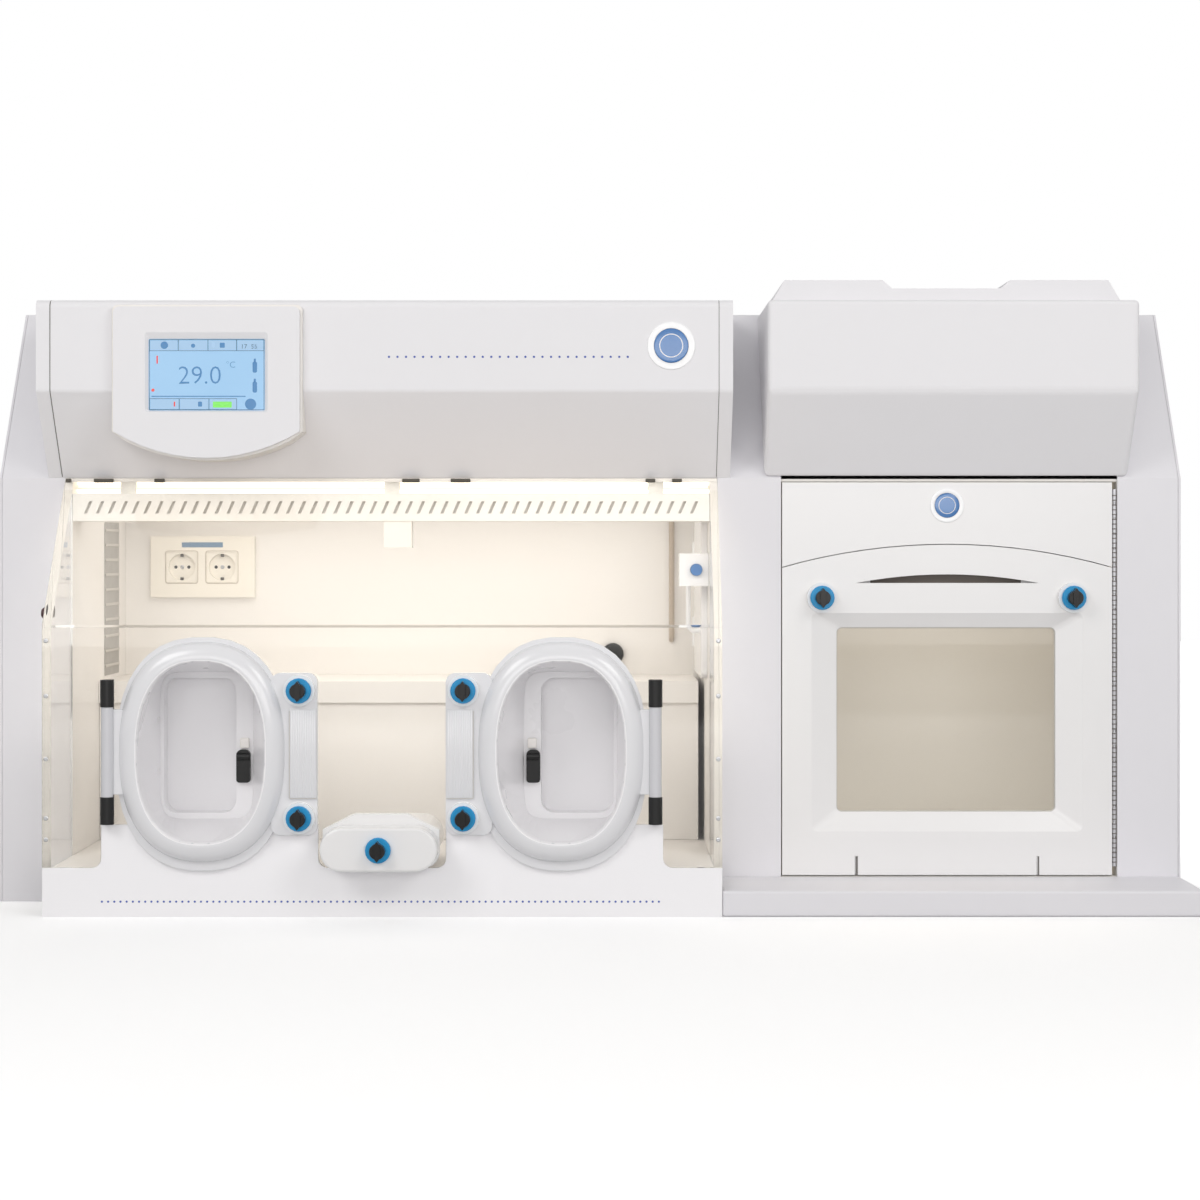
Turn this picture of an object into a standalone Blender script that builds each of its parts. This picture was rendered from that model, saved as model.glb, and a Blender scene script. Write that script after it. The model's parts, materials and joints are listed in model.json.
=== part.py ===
"""An anaerobic chamber: a bench workstation with an airlock on its right.

Metres, +Z up. The origin is the centre of the cabinet's footprint on the
bench, the chamber's clear front faces -Y and the airlock is at +X.
"""

import math

import bmesh
import bpy
from mathutils import Matrix, Vector

# Overall sizes; the width is the sum of what stands side by side in the front
LEFT_WING = 0.087
CHAMBER_WIDTH = 0.862
CENTRE_POST = 0.0845
AIRLOCK_WIDTH = 0.4445
RIGHT_WING = 0.084
WIDTH = LEFT_WING + CHAMBER_WIDTH + CENTRE_POST + AIRLOCK_WIDTH + RIGHT_WING
DEPTH = 0.760
HEIGHT = 0.790
SHEET = 0.003            # painted steel sheet of the cabinet
GAP = 0.0003             # between pieces that touch
FRONT = -DEPTH / 2
BACK = DEPTH / 2
BACK_INSET = 0.002       # the back panel lies this far inside the sides
BACK_FACE = BACK - BACK_INSET

# Cabinet front: upright up to a fold, then leaning back to the top
CHAMBER_REACH = 0.137    # how far the clear chamber stands out in front
FOLD_Z = 0.560
LEAN = 0.148             # how far the top edge lies behind the fold
CABINET_FRONT = FRONT + CHAMBER_REACH

# Chamber
CHAMBER_LEFT = -WIDTH / 2 + LEFT_WING
CHAMBER_RIGHT = CHAMBER_LEFT + CHAMBER_WIDTH
CHAMBER_X = (CHAMBER_LEFT + CHAMBER_RIGHT) / 2
CHAMBER_DEPTH = 0.500    # from the outer front to the back wall
WALL = 0.010             # chamber walls, cheeks and windows
INNER_LEFT = CHAMBER_LEFT + WALL + GAP
INNER_RIGHT = CHAMBER_RIGHT - WALL - GAP
BACK_WALL = 0.006
FLOOR_Z = 0.0615
FLOOR_SHEET = 0.006
ROOF_SHEET = 0.006
ROOF_Z = FOLD_Z - ROOF_SHEET
KINK_Z = 0.370           # where the front window turns into the sloped one

# Painted panel below the window, raised under the two ports
BASE_PANEL_HEIGHT = 0.062
RAISED_HEIGHT = 0.117
RAISED_OUTER = 0.356     # from the chamber's middle
RAISED_INNER = 0.081
WINDOW_CORNER = 0.012

# Bench inside the chamber
BENCH_FRONT = 0.310      # behind the chamber's front
BENCH_TOP = 0.2825
BENCH_LIP = 0.030
BENCH_SHEET = 0.004
BENCH_OVERHANG = 0.006
BENCH_SIDE_ROOM = 0.008  # left free for the inner door

# Arm ports
PORT_SPACING = 0.454
PORT_Z = 0.210
PORT_WIDTH = 0.160       # clear opening
PORT_HEIGHT = 0.228
PORT_ROUND = 2.4         # exponent of the oval
RIM_WIDTH = 0.0065
RIM_REACH = 0.022        # in front of the window
HOLE_WIDTH = 0.194       # in the window, wide enough for the pod to swing out
HOLE_HEIGHT = 0.266
HOLE_ROUND = 3.2
FLANGE_WIDTH = 0.219
FLANGE_HEIGHT = 0.296
FLANGE_DROP = 0.003      # the flange's middle below the port's
FLANGE = 0.006
POD_DEPTH = 0.095        # behind the window's face
POD_WALL = 0.003
POD_REAR_WIDTH = 0.122
POD_REAR_HEIGHT = 0.192
POD_REAR_SHIFT = 0.0105  # the rear opening lies nearer to the hinge
POD_REAR_ROUND = 7.0
POD_LUG_HALF = 0.0035    # lugs that hold the inner door's barrel
POD_LUG_TALL = 0.007
POD_LUG_LONG = 0.019
POD_FOOT = 0.0085
EAR_REACH = 0.146        # from the port's middle to the ear's edge
EAR = 0.009
EAR_HEIGHT = 0.205
EAR_CORNER = 0.012
GRIP_INSET = 0.001
GRIP_WIDTH = 0.034
GRIP_HEIGHT = 0.112
GRIP_RAISE = 0.003
KNOB_REACH = 0.1235      # from the port's middle to the two knobs
KNOB_RISE = 0.0776
KNOB_DROP = 0.0833

# Port hinges
HINGE_REACH = 0.119      # from the port's middle to the hinge pin
HINGE_STAND = 0.012      # pin in front of the window
KNUCKLE = 0.0088
KNUCKLE_OUTER = 0.0912   # ends of the two knuckles from the port's middle
KNUCKLE_INNER = 0.0570
HINGE_BARREL = 0.0078
HINGE_PIN = 0.003
PIN_ROOM = 0.0003
HINGE_STRAP = 0.003
WEB_LAP = 0.010          # the barrel's web over the flange's edge
WEB_THICK = 0.007
WEB_SINK = 0.0018        # its back inside the flange's front
WEB_END = 0.003          # web shorter than the barrel at each end

# Inner doors of the ports
POD_DOOR = 0.006
PAN_LEFT = 0.0695        # pan edges from the port's middle, hinge side first
PAN_RIGHT = 0.031
PAN_HALF_HEIGHT = 0.091
PAN_DEPTH = 0.024
PAN_WALL = 0.003
PAN_CORNER = 0.020
POD_HINGE_REACH = 0.0795
POD_HINGE_BEHIND = 0.0990
POD_BARREL = 0.003
POD_BARREL_LENGTH = 0.060
LATCH_X = 0.0380
LATCH_WIDTH = 0.018
LATCH_LENGTH = 0.043
LATCH_TOP = 0.0142       # latch pivot below the port's middle
LATCH_THICK = 0.007
LATCH_HEAD = 0.005       # radius of the rolled top
LATCH_PIN = 0.003
LATCH_CORNER = 0.007
LATCH_TIP_CORNER = 0.004

# Knobs
COLLAR = 0.020
COLLAR_HEIGHT = 0.008
KNOB_RING = 0.016
KNOB_RING_HEIGHT = 0.007
KNOB_CORE = 0.0098
KNOB_CORE_HEIGHT = 0.012
KNOB_TIP = 0.013         # the pointed ridge's reach from the axis
KNOB_RIDGE = 0.004
KNOB_SHAFT = 0.005
SHAFT_ROOM = 0.0003

# Single-plate entry
ENTRY_Z = 0.0915
ENTRY_CAP_WIDTH = 0.147
ENTRY_CAP_HEIGHT = 0.055
ENTRY_CAP_DEPTH = 0.040
DRAWER_WIDTH = 0.132
DRAWER_HEIGHT = 0.044
DRAWER_ROOM = 0.0005
DRAWER_LENGTH = 0.125    # behind the window's face
SLEEVE_WALL = 0.004
SLEEVE_LENGTH = 0.130
ENTRY_FACE = 0.016       # housing in front of the window
ENTRY_SHOULDER_Z = 0.1125
ENTRY_TOP_Z = 0.132
ENTRY_TOP_WIDTH = 0.068
PLATE_WELL = 0.048

# Airlock
AIRLOCK_LEFT = CHAMBER_RIGHT + CENTRE_POST
AIRLOCK_RIGHT = AIRLOCK_LEFT + AIRLOCK_WIDTH
FRONT_ROOM = 0.0015      # beside the airlock's front
PIANO_RADIUS = 0.0028    # hinge barrel between the front and the aperture's edge
PIANO_ROOM = 0.0005
PIANO_PITCH = 0.020
FRONT_LEFT = AIRLOCK_LEFT + FRONT_ROOM
FRONT_RIGHT = AIRLOCK_RIGHT - 2 * (PIANO_RADIUS + PIANO_ROOM)
AIRLOCK_X = (FRONT_LEFT + FRONT_RIGHT) / 2
AIRLOCK_FLOOR_Z = 0.0336
AIRLOCK_TOP_Z = 0.5555
AIRLOCK_BACK = 0.520     # behind the chamber's front
LINER = 0.0035
FRONT_THICK = 0.022
RING_THICK = 0.004
RING_GAP = 0.002
RING_CORNER = 0.010
ARC_TOP_Z = 0.472
ARC_RADIUS = 0.796
ARC_ROOM = 0.0012
GLASS_WIDTH = 0.2907
GLASS_BOTTOM_Z = 0.1176
GLASS_TOP_Z = 0.3622
GLASS_CORNER = 0.007
BEVEL_SIDE = 0.034
BEVEL_BOTTOM = 0.0252
BEVEL_TOP = 0.0194
BEVEL_DEPTH = 0.011
PANE = 0.004
PANE_REBATE = 0.006
PANE_ROOM = 0.0003
SLOT_Z = 0.4213
SLOT_HALF = 0.121
SLOT_RISE = 0.0115
SLOT_DEPTH = 0.014
AIRLOCK_KNOB_Z = 0.402
AIRLOCK_KNOB_SPACING = 0.332
DOOR_BOTTOM_Z = 0.035
LUG_SPACING = 0.240
LUG_WIDTH = 0.0030
LUG_SLIT = 0.0040
LUG_HEIGHT = 0.0195
DOOR_PIVOT_IN = 0.004    # door's pivot behind its face
DOOR_PIVOT_UP = 0.005    # and above its bottom edge
SHELF_HEIGHT = 0.033
SHELF_WALL = 0.004

# Inner airlock door and its way through the wall
PASS_FRONT = 0.215
PASS_BACK = 0.445
PASS_BOTTOM_Z = 0.300
PASS_TOP_Z = 0.500
PASS_LAP = 0.008
INNER_DOOR = 0.008
INNER_BARREL = 0.004
HANDLE_REACH = 0.020
HANDLE_RADIUS = 0.0035

# Hoods
HOOD_FRONT = 0.062       # behind the chamber's front
HOOD_TOP_Z = HEIGHT - 0.0015
HOOD_LOWER_Z = FOLD_Z + 0.1105
HOOD_WALL = 0.004
HOOD_ROUND = 0.010
HOOD_END = 0.018
LEFT_HOOD_LEFT = CHAMBER_LEFT - 0.022
LEFT_HOOD_RIGHT = CHAMBER_RIGHT + 0.017
RIGHT_HOOD_LEFT = AIRLOCK_LEFT - 0.0225
RIGHT_HOOD_RIGHT = AIRLOCK_RIGHT + 0.014
RIGHT_HOOD_X = (RIGHT_HOOD_LEFT + RIGHT_HOOD_RIGHT) / 2
RIGHT_HOOD_WIDTH = RIGHT_HOOD_RIGHT - RIGHT_HOOD_LEFT
RIGHT_HOOD_ROUND = 0.006
HUMP_FRONT = 0.132
HUMP_BACK = 0.420
HUMP_HEIGHT = 0.0315
HUMP_BASE_HALF = RIGHT_HOOD_WIDTH / 2 - 0.0085
HUMP_TOP_HALF = HUMP_BASE_HALF - 0.018
HUMP_WALL = 0.004
HUMP_DIP = 0.011
DIP_HALF = 0.084
DIP_SLOPE = 0.012

# Display
DISPLAY_X = CHAMBER_X - 0.2307
DISPLAY_WIDTH = 0.240
DISPLAY_ARC_Z = FOLD_Z + 0.0234      # foot of the bowed edge
DISPLAY_SIDE_Z = DISPLAY_ARC_Z + 0.0342
DISPLAY_TOP_Z = DISPLAY_SIDE_Z + 0.1609
DISPLAY_REACH = 0.013    # in front of the hood
BEZEL = 0.007
SCREEN_WIDTH = 0.150
SCREEN_HEIGHT = 0.0926
SCREEN_TOP_Z = DISPLAY_TOP_Z - 0.0413
SCREEN_SINK = 0.004

# Air duct and lamp under the roof
DUCT_BOTTOM_Z = 0.5007
DUCT_TOP_Z = 0.537
DUCT_DEPTH = 0.060
DUCT_SHEET = 0.003
SLOT_PITCH = 0.0157
SLOT_WIDTH = 0.004
SLOT_HEIGHT = 0.016
SLOT_LEAN = 0.007
LAMP_RADIUS = 0.0075

# Small fittings
SOCKET_LEFT = 0.048      # from the chamber's left edge
SOCKET_WIDTH = 0.1526
SOCKET_BOTTOM_Z = 0.393
SOCKET_HEIGHT = 0.0896
SOCKET_THICK = 0.008
SOCKET_WELL = 0.0195
SOCKET_PITCH = 0.059
SOCKET_Z = 0.4375
SWITCH_WIDTH = 0.0387
SWITCH_HEIGHT = 0.0435
SWITCH_DEPTH = 0.035
SWITCH_FRONT = 0.165
SWITCH_BOTTOM_Z = 0.4145
BUTTON_RADIUS = 0.008
BUTTON_ROOM = 0.0004
BUTTON_STAND = 0.006
BUTTON_TRAVEL = 0.003
PLUG_X = CHAMBER_RIGHT - 0.1362
PLUG_Z = 0.3126
PLUG_RADIUS = 0.016
CONDUIT_X = CHAMBER_RIGHT - 0.050
CONDUIT_RADIUS = 0.004
CONDUIT_LOW_Z = 0.333
INLET_X = CHAMBER_X - 0.337
INLET_Z = 0.120
INLET_WIDTH = 0.027
INLET_HEIGHT = 0.0195
INLET_DEPTH = 0.018
INLET_WALL = 0.004

AROUND = 36              # points round an oval
STEPS = 20               # steps round a turned piece

PARTS = "anaerobic_chamber"
CUTTERS = "cutters"


def behind(distance):
    """World Y of a plane this far behind the chamber's front."""
    return FRONT + distance


def clear_scene():
    for item in list(bpy.data.objects):
        bpy.data.objects.remove(item, do_unlink=True)
    for name in (PARTS, CUTTERS):
        group = bpy.data.collections.new(name)
        bpy.context.scene.collection.children.link(group)


def finish(name, colour, roughness, metallic=0.0, alpha=1.0):
    material = bpy.data.materials.new(name)
    material.use_nodes = True
    shader = material.node_tree.nodes["Principled BSDF"]
    shader.inputs["Base Color"].default_value = (*colour, 1.0)
    shader.inputs["Roughness"].default_value = roughness
    shader.inputs["Metallic"].default_value = metallic
    shader.inputs["Alpha"].default_value = alpha
    return material


FINISHES = {
    "cabinet_white": ((0.80, 0.79, 0.82), 0.45, 0.0, 1.0),
    "hood_white": ((0.84, 0.83, 0.85), 0.40, 0.0, 1.0),
    "moulded_white": ((0.86, 0.85, 0.85), 0.35, 0.0, 1.0),
    "chamber_cream": ((0.88, 0.85, 0.78), 0.40, 0.0, 1.0),
    "clear_acrylic": ((0.93, 0.95, 0.95), 0.05, 0.0, 0.25),
    "knob_blue": ((0.03, 0.23, 0.55), 0.35, 0.0, 1.0),
    "black_plastic": ((0.02, 0.02, 0.022), 0.45, 0.0, 1.0),
    "hinge_grey": ((0.62, 0.62, 0.64), 0.30, 0.6, 1.0),
    "screen_blue": ((0.62, 0.74, 0.84), 0.20, 0.0, 1.0),
    "lamp_white": ((0.95, 0.92, 0.84), 0.30, 0.0, 1.0),
    "conduit_brown": ((0.42, 0.30, 0.20), 0.45, 0.0, 1.0),
}
MADE = {}


def dress(item, slot):
    if slot not in MADE:
        MADE[slot] = finish(slot, *FINISHES[slot])
    item.data.materials.clear()
    item.data.materials.append(MADE[slot])
    return item


def keep(name, mesh, matrix, group=PARTS):
    """An object in a collection, placed by its matrix."""
    item = bpy.data.objects.new(name, mesh)
    bpy.data.collections[group].objects.link(item)
    item.matrix_world = matrix
    return item


def smooth(item, angle=35.0):
    item.data.shade_smooth()
    item.data.set_sharp_from_angle(angle=math.radians(angle))
    return item


# The two directions of an outline and the one it is drawn out along
PLANES = {
    "front": Matrix(((1, 0, 0), (0, 0, -1), (0, 1, 0))).to_4x4(),
    "side": Matrix(((0, 0, 1), (1, 0, 0), (0, 1, 0))).to_4x4(),
    "top": Matrix.Identity(4),
}
DRAWN = {"front": Vector((0, 1, 0)), "side": Vector((1, 0, 0)), "top": Vector((0, 0, 1))}


def flat_piece(name, outlines, plane, low, high, slot=None):
    """A filled flat outline, with any holes, drawn out from low to high."""
    curve = bpy.data.curves.new(name, "CURVE")
    curve.dimensions = "2D"
    curve.fill_mode = "BOTH"
    curve.extrude = (high - low) / 2
    for outline in outlines:
        spline = curve.splines.new("POLY")
        spline.points.add(len(outline) - 1)
        for point, (u, v) in zip(spline.points, outline):
            point.co = (u, v, 0.0, 1.0)
        spline.use_cyclic_u = True
    guide = bpy.data.objects.new(name, curve)
    bpy.context.scene.collection.objects.link(guide)
    graph = bpy.context.evaluated_depsgraph_get()
    graph.update()
    mesh = bpy.data.meshes.new_from_object(guide.evaluated_get(graph))
    bpy.data.objects.remove(guide, do_unlink=True)
    form = bmesh.new()
    form.from_mesh(mesh)
    bmesh.ops.remove_doubles(form, verts=form.verts, dist=1e-6)
    bmesh.ops.recalc_face_normals(form, faces=form.faces)
    if len(outlines) == 1:
        bmesh.ops.dissolve_limit(
            form, angle_limit=0.001, verts=form.verts, edges=form.edges)
    form.to_mesh(mesh)
    form.free()
    matrix = Matrix.Translation(DRAWN[plane] * (low + high) / 2) @ PLANES[plane]
    item = keep(name, mesh, matrix, PARTS if slot else CUTTERS)
    return dress(item, slot) if slot else item


def box(name, low, high, slot=None):
    low, high = Vector(low), Vector(high)
    mesh = bpy.data.meshes.new(name)
    form = bmesh.new()
    bmesh.ops.create_cube(form, size=1.0)
    bmesh.ops.scale(form, vec=high - low, verts=form.verts)
    form.to_mesh(mesh)
    form.free()
    item = keep(name, mesh, Matrix.Translation((low + high) / 2), PARTS if slot else CUTTERS)
    return dress(item, slot) if slot else item


AXES = {
    "x": Matrix.Rotation(math.radians(90), 4, "Y"),
    "y": Matrix.Rotation(math.radians(90), 4, "X"),
    "z": Matrix.Identity(4),
}


def rod(name, axis, centre, radius, length, slot=None, steps=STEPS):
    mesh = bpy.data.meshes.new(name)
    form = bmesh.new()
    bmesh.ops.create_cone(
        form, cap_ends=True, segments=steps, radius1=radius, radius2=radius, depth=length)
    form.to_mesh(mesh)
    form.free()
    item = keep(name, mesh, Matrix.Translation(centre) @ AXES[axis], PARTS if slot else CUTTERS)
    return dress(smooth(item), slot) if slot else item


def turned(name, profile, centre, axis, slot=None, steps=STEPS):
    """A profile of (radius, height) points from the top down, turned about its axis."""
    mesh = bpy.data.meshes.new(name)
    points = [(radius, 0.0, height) for radius, height in profile]
    mesh.from_pydata(points, [(i, i + 1) for i in range(len(points) - 1)], [])
    item = keep(name, mesh, Matrix.Translation(centre) @ AXES[axis], PARTS if slot else CUTTERS)
    screw = item.modifiers.new("turn", "SCREW")
    screw.steps = screw.render_steps = steps
    screw.use_merge_vertices = True
    screw.merge_threshold = 0.00001
    return dress(item, slot) if slot else item


def lofted(name, rings, slot=None, loop=True):
    """Skins rings of equally many points; a loop of rings makes a tube with a wall."""
    mesh = bpy.data.meshes.new(name)
    form = bmesh.new()
    rows = [[form.verts.new(point) for point in ring] for ring in rings]
    count = len(rows[0])
    pairs = list(zip(rows, rows[1:] + rows[:1] if loop else rows[1:]))
    for first, second in pairs:
        for i in range(count):
            j = (i + 1) % count
            form.faces.new((first[i], first[j], second[j], second[i]))
    if not loop:
        form.faces.new(rows[0])
        form.faces.new(list(reversed(rows[-1])))
    bmesh.ops.recalc_face_normals(form, faces=form.faces)
    form.to_mesh(mesh)
    form.free()
    item = keep(name, mesh, Matrix.Identity(4), PARTS if slot else CUTTERS)
    return dress(smooth(item), slot) if slot else item


def change(item, tool, operation):
    step = item.modifiers.new(tool.name, "BOOLEAN")
    step.operation = operation
    step.solver = "EXACT"
    step.object = tool
    tool.hide_render = True
    tool.display_type = "WIRE"
    return item


def cut(item, tool):
    return change(item, tool, "DIFFERENCE")


def join(item, tool):
    return change(item, tool, "UNION")


def soften(item, width, segments=2, angle=40.0):
    bevel = item.modifiers.new("edges", "BEVEL")
    bevel.width = width
    bevel.segments = segments
    bevel.limit_method = "ANGLE"
    bevel.angle_limit = math.radians(angle)
    return item


def pivot(name, place):
    """An empty on a joint's axis, which carries the pieces that move about it."""
    empty = bpy.data.objects.new(name, None)
    bpy.data.collections[CUTTERS].objects.link(empty)
    empty.location = place
    empty.empty_display_size = 0.02
    bpy.context.view_layer.update()
    return empty


def carry(empty, *items):
    for item in items:
        item.parent = empty
        item.matrix_parent_inverse = empty.matrix_world.inverted()


def oval(half_width, half_height, power, centre_u=0.0, centre_v=0.0, count=AROUND):
    """Points round |u/a|^n + |v/b|^n = 1."""
    points = []
    for i in range(count):
        turn = 2 * math.pi * (i + 0.5) / count
        c, s = math.cos(turn), math.sin(turn)
        u = half_width * math.copysign(abs(c) ** (2 / power), c)
        v = half_height * math.copysign(abs(s) ** (2 / power), s)
        points.append((centre_u + u, centre_v + v))
    return points


def rounded(corners, steps=5):
    """An outline from (u, v, radius) corners, each turned into an arc."""
    points = []
    for i, (u, v, radius) in enumerate(corners):
        if radius <= 0:
            points.append((u, v))
            continue
        here = Vector((u, v))
        before = (Vector(corners[i - 1][:2]) - here).normalized()
        after = (Vector(corners[(i + 1) % len(corners)][:2]) - here).normalized()
        half = before.angle(after) / 2
        centre = here + (before + after).normalized() * (radius / math.sin(half))
        start = here + before * (radius / math.tan(half)) - centre
        end = here + after * (radius / math.tan(half)) - centre
        sweep = start.angle_signed(end)
        for step in range(steps + 1):
            spot = start.copy()
            spot.rotate(Matrix.Rotation(-sweep * step / steps, 2))
            points.append(tuple(centre + spot))
    return points


def rounded_box(left, right, bottom, top, radius, steps=5):
    return rounded([(left, bottom, radius), (right, bottom, radius),
                    (right, top, radius), (left, top, radius)], steps)


def stadium(width, height, centre_u, centre_v, steps=12):
    """Two half circles joined by straight sides."""
    radius = height / 2
    reach = width / 2 - radius
    points = []
    for end in (1, -1):
        for step in range(steps + 1):
            turn = math.pi * (step / steps - 0.5)
            points.append((centre_u + end * (reach + radius * math.cos(turn)),
                           centre_v + end * radius * math.sin(turn)))
    return points


def meet(p, q, r, s):
    """Where the line through p and q crosses the line through r and s."""
    p, q, r, s = (Vector(point) for point in (p, q, r, s))
    a, b = q - p, s - r
    return tuple(p + a * ((r - p).cross(b) / a.cross(b)))


def shifted(p, q, distance):
    """The line through p and q, moved to its right-hand side by a distance."""
    p, q = Vector(p), Vector(q)
    along = (q - p).normalized()
    aside = Vector((along.y, -along.x)) * distance
    return tuple(p + aside), tuple(q + aside)


FOLD = (CABINET_FRONT, FOLD_Z)
TOP_FRONT = (CABINET_FRONT + LEAN, HEIGHT)


def sheet_section(thickness):
    """Section of the folded front sheet, seen from the side."""
    upright = shifted((CABINET_FRONT, 0), FOLD, thickness)
    leaning = shifted(FOLD, TOP_FRONT, thickness)
    return [(CABINET_FRONT, 0), FOLD, TOP_FRONT, leaning[1],
            meet(*upright, *leaning), upright[0]]


def cabinet():
    half = WIDTH / 2
    outline = [(CABINET_FRONT, 0), (BACK, 0), (BACK, HEIGHT), TOP_FRONT, FOLD]
    flat_piece("cabinet_left_side", [outline], "side", -half, -half + SHEET, "cabinet_white")
    flat_piece("cabinet_right_side", [outline], "side", half - SHEET, half, "cabinet_white")
    left, right = -half + SHEET + GAP, half - SHEET - GAP
    rear = BACK_FACE - SHEET - GAP
    box("cabinet_base", (left, CABINET_FRONT + SHEET + GAP, 0), (right, rear, SHEET), "cabinet_white")
    box("cabinet_top", (left, TOP_FRONT[0] + SHEET, HEIGHT - SHEET), (right, rear, HEIGHT), "cabinet_white")
    back = box("cabinet_back", (left, BACK_FACE - SHEET, 0), (right, BACK_FACE, HEIGHT), "cabinet_white")
    mains_inlet(back)
    section = sheet_section(SHEET)
    strips = (("left_wing", left, CHAMBER_LEFT - GAP),
              ("centre_post", CHAMBER_RIGHT + GAP, AIRLOCK_LEFT),
              ("right_wing", AIRLOCK_RIGHT + GAP, right))
    for name, start, end in strips:
        flat_piece(name, [section], "side", start, end, "cabinet_white")


def mains_inlet(back):
    """A power inlet's housing behind the back panel, with its recess open to the rear."""
    half, rise, deep, wall = INLET_WIDTH / 2, INLET_HEIGHT / 2, INLET_DEPTH, INLET_WALL
    join(back, box("inlet_housing", (INLET_X - half - wall, BACK_FACE - deep - wall, INLET_Z - rise - wall),
                   (INLET_X + half + wall, BACK_FACE - SHEET / 2, INLET_Z + rise + wall)))
    cut(back, box("inlet_recess", (INLET_X - half, BACK_FACE - deep, INLET_Z - rise),
                  (INLET_X + half, BACK + wall, INLET_Z + rise)))


KINK = (FRONT, KINK_Z)
WINDOW_TOP = (CABINET_FRONT, FOLD_Z)


def window_inner(y):
    """Height of the sloped window's inner face at a depth."""
    line = shifted(KINK, WINDOW_TOP, WALL)
    return meet(*line, (y, 0), (y, 1))[1]


SEAT_Z = window_inner(FRONT + WALL)      # where the two windows meet


def chamber_shell():
    rear = behind(CHAMBER_DEPTH)
    stand = SHEET + GAP
    box("chamber_left_wall", (CHAMBER_LEFT, CABINET_FRONT, stand),
        (CHAMBER_LEFT + WALL, rear - GAP, ROOF_Z - GAP), "chamber_cream")
    outline = [(CABINET_FRONT, stand), (rear - GAP, stand), (rear - GAP, ROOF_Z - GAP),
               (CABINET_FRONT, ROOF_Z - GAP)]
    passage = rounded_box(behind(PASS_FRONT), behind(PASS_BACK), PASS_BOTTOM_Z, PASS_TOP_Z, 0.012)
    flat_piece("chamber_right_wall", [outline, passage], "side",
               CHAMBER_RIGHT - WALL, CHAMBER_RIGHT, "chamber_cream")
    box("chamber_back_wall", (CHAMBER_LEFT, rear, stand),
        (CHAMBER_RIGHT, rear + BACK_WALL, ROOF_Z - GAP), "chamber_cream")
    box("chamber_floor", (INNER_LEFT, FRONT + WALL + GAP, FLOOR_Z - FLOOR_SHEET),
        (INNER_RIGHT, rear - GAP, FLOOR_Z), "chamber_cream")
    box("chamber_roof", (CHAMBER_LEFT, CABINET_FRONT, ROOF_Z),
        (CHAMBER_RIGHT, rear + BACK_WALL, FOLD_Z), "chamber_cream")


def chamber_bench():
    front = behind(BENCH_FRONT)
    lip = front - BENCH_OVERHANG
    rear = behind(CHAMBER_DEPTH) - GAP
    low = FLOOR_Z + GAP
    outline = [(lip, BENCH_TOP), (lip, BENCH_TOP - BENCH_LIP), (front, BENCH_TOP - BENCH_LIP),
               (front, low), (front + BENCH_SHEET, low), (front + BENCH_SHEET, BENCH_TOP - BENCH_SHEET),
               (rear, BENCH_TOP - BENCH_SHEET), (rear, BENCH_TOP)]
    flat_piece("chamber_bench", [outline], "side", INNER_LEFT,
               INNER_RIGHT - BENCH_SIDE_ROOM, "chamber_cream")


def windows():
    low = FRONT + WALL + GAP
    high = CABINET_FRONT - GAP
    drop = 2 * GAP
    cheek = [(low, 0), (high, 0), (high, window_inner(high) - drop), (low, window_inner(low) - drop)]
    flat_piece("left_cheek", [cheek], "side", CHAMBER_LEFT, CHAMBER_LEFT + WALL, "clear_acrylic")
    flat_piece("right_cheek", [cheek], "side", CHAMBER_RIGHT - WALL, CHAMBER_RIGHT, "clear_acrylic")
    top = meet(KINK, WINDOW_TOP, (high, 0), (high, 1))
    slope = [(FRONT, SEAT_Z), KINK, top, (high, window_inner(high)), (FRONT + WALL, SEAT_Z)]
    flat_piece("sloped_window", [slope], "side", CHAMBER_LEFT, CHAMBER_RIGHT, "clear_acrylic")
    pane = flat_piece("front_window", [window_outline()], "front", FRONT, FRONT + WALL, "clear_acrylic")
    panel = flat_piece("front_base_panel", [panel_outline()], "front", FRONT, FRONT + WALL, "cabinet_white")
    for side in (-1, 1):
        edge = oval(HOLE_WIDTH / 2, HOLE_HEIGHT / 2, HOLE_ROUND, port_x(side), PORT_Z)
        hole = flat_piece("port_hole", [edge], "front", FRONT - WALL, FRONT + 2 * WALL)
        cut(pane, hole)
        cut(panel, hole)
    around = flat_piece("entry_hole", [sleeve_outline(GAP)], "front", FRONT - WALL, FRONT + 2 * WALL)
    cut(pane, around)


def port_x(side):
    return CHAMBER_X + side * PORT_SPACING / 2


def lower_edge(room):
    """The line between window and base panel from left to right, raised under the ports."""
    low, high = BASE_PANEL_HEIGHT, RAISED_HEIGHT
    inner, outer = RAISED_INNER - room, RAISED_OUTER + room
    radius = WINDOW_CORNER
    line = [(-outer, low, radius), (-outer, high, 0), (-inner, high, 0), (-inner, low, radius)]
    line += [(-u, v, r) for u, v, r in reversed(line)]
    return [(CHAMBER_X + u, v + room, r) for u, v, r in line]


def window_outline():
    """The window's edge, which leaves a small gap to the painted panel."""
    low = BASE_PANEL_HEIGHT + GAP
    return rounded([(CHAMBER_RIGHT, low, 0), (CHAMBER_RIGHT, SEAT_Z - GAP, 0),
                    (CHAMBER_LEFT, SEAT_Z - GAP, 0), (CHAMBER_LEFT, low, 0)] + lower_edge(GAP))


def panel_outline():
    low = BASE_PANEL_HEIGHT
    return rounded([(CHAMBER_RIGHT, low, 0), (CHAMBER_RIGHT, 0, 0),
                    (CHAMBER_LEFT, 0, 0), (CHAMBER_LEFT, low, 0)] + lower_edge(0.0))


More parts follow.
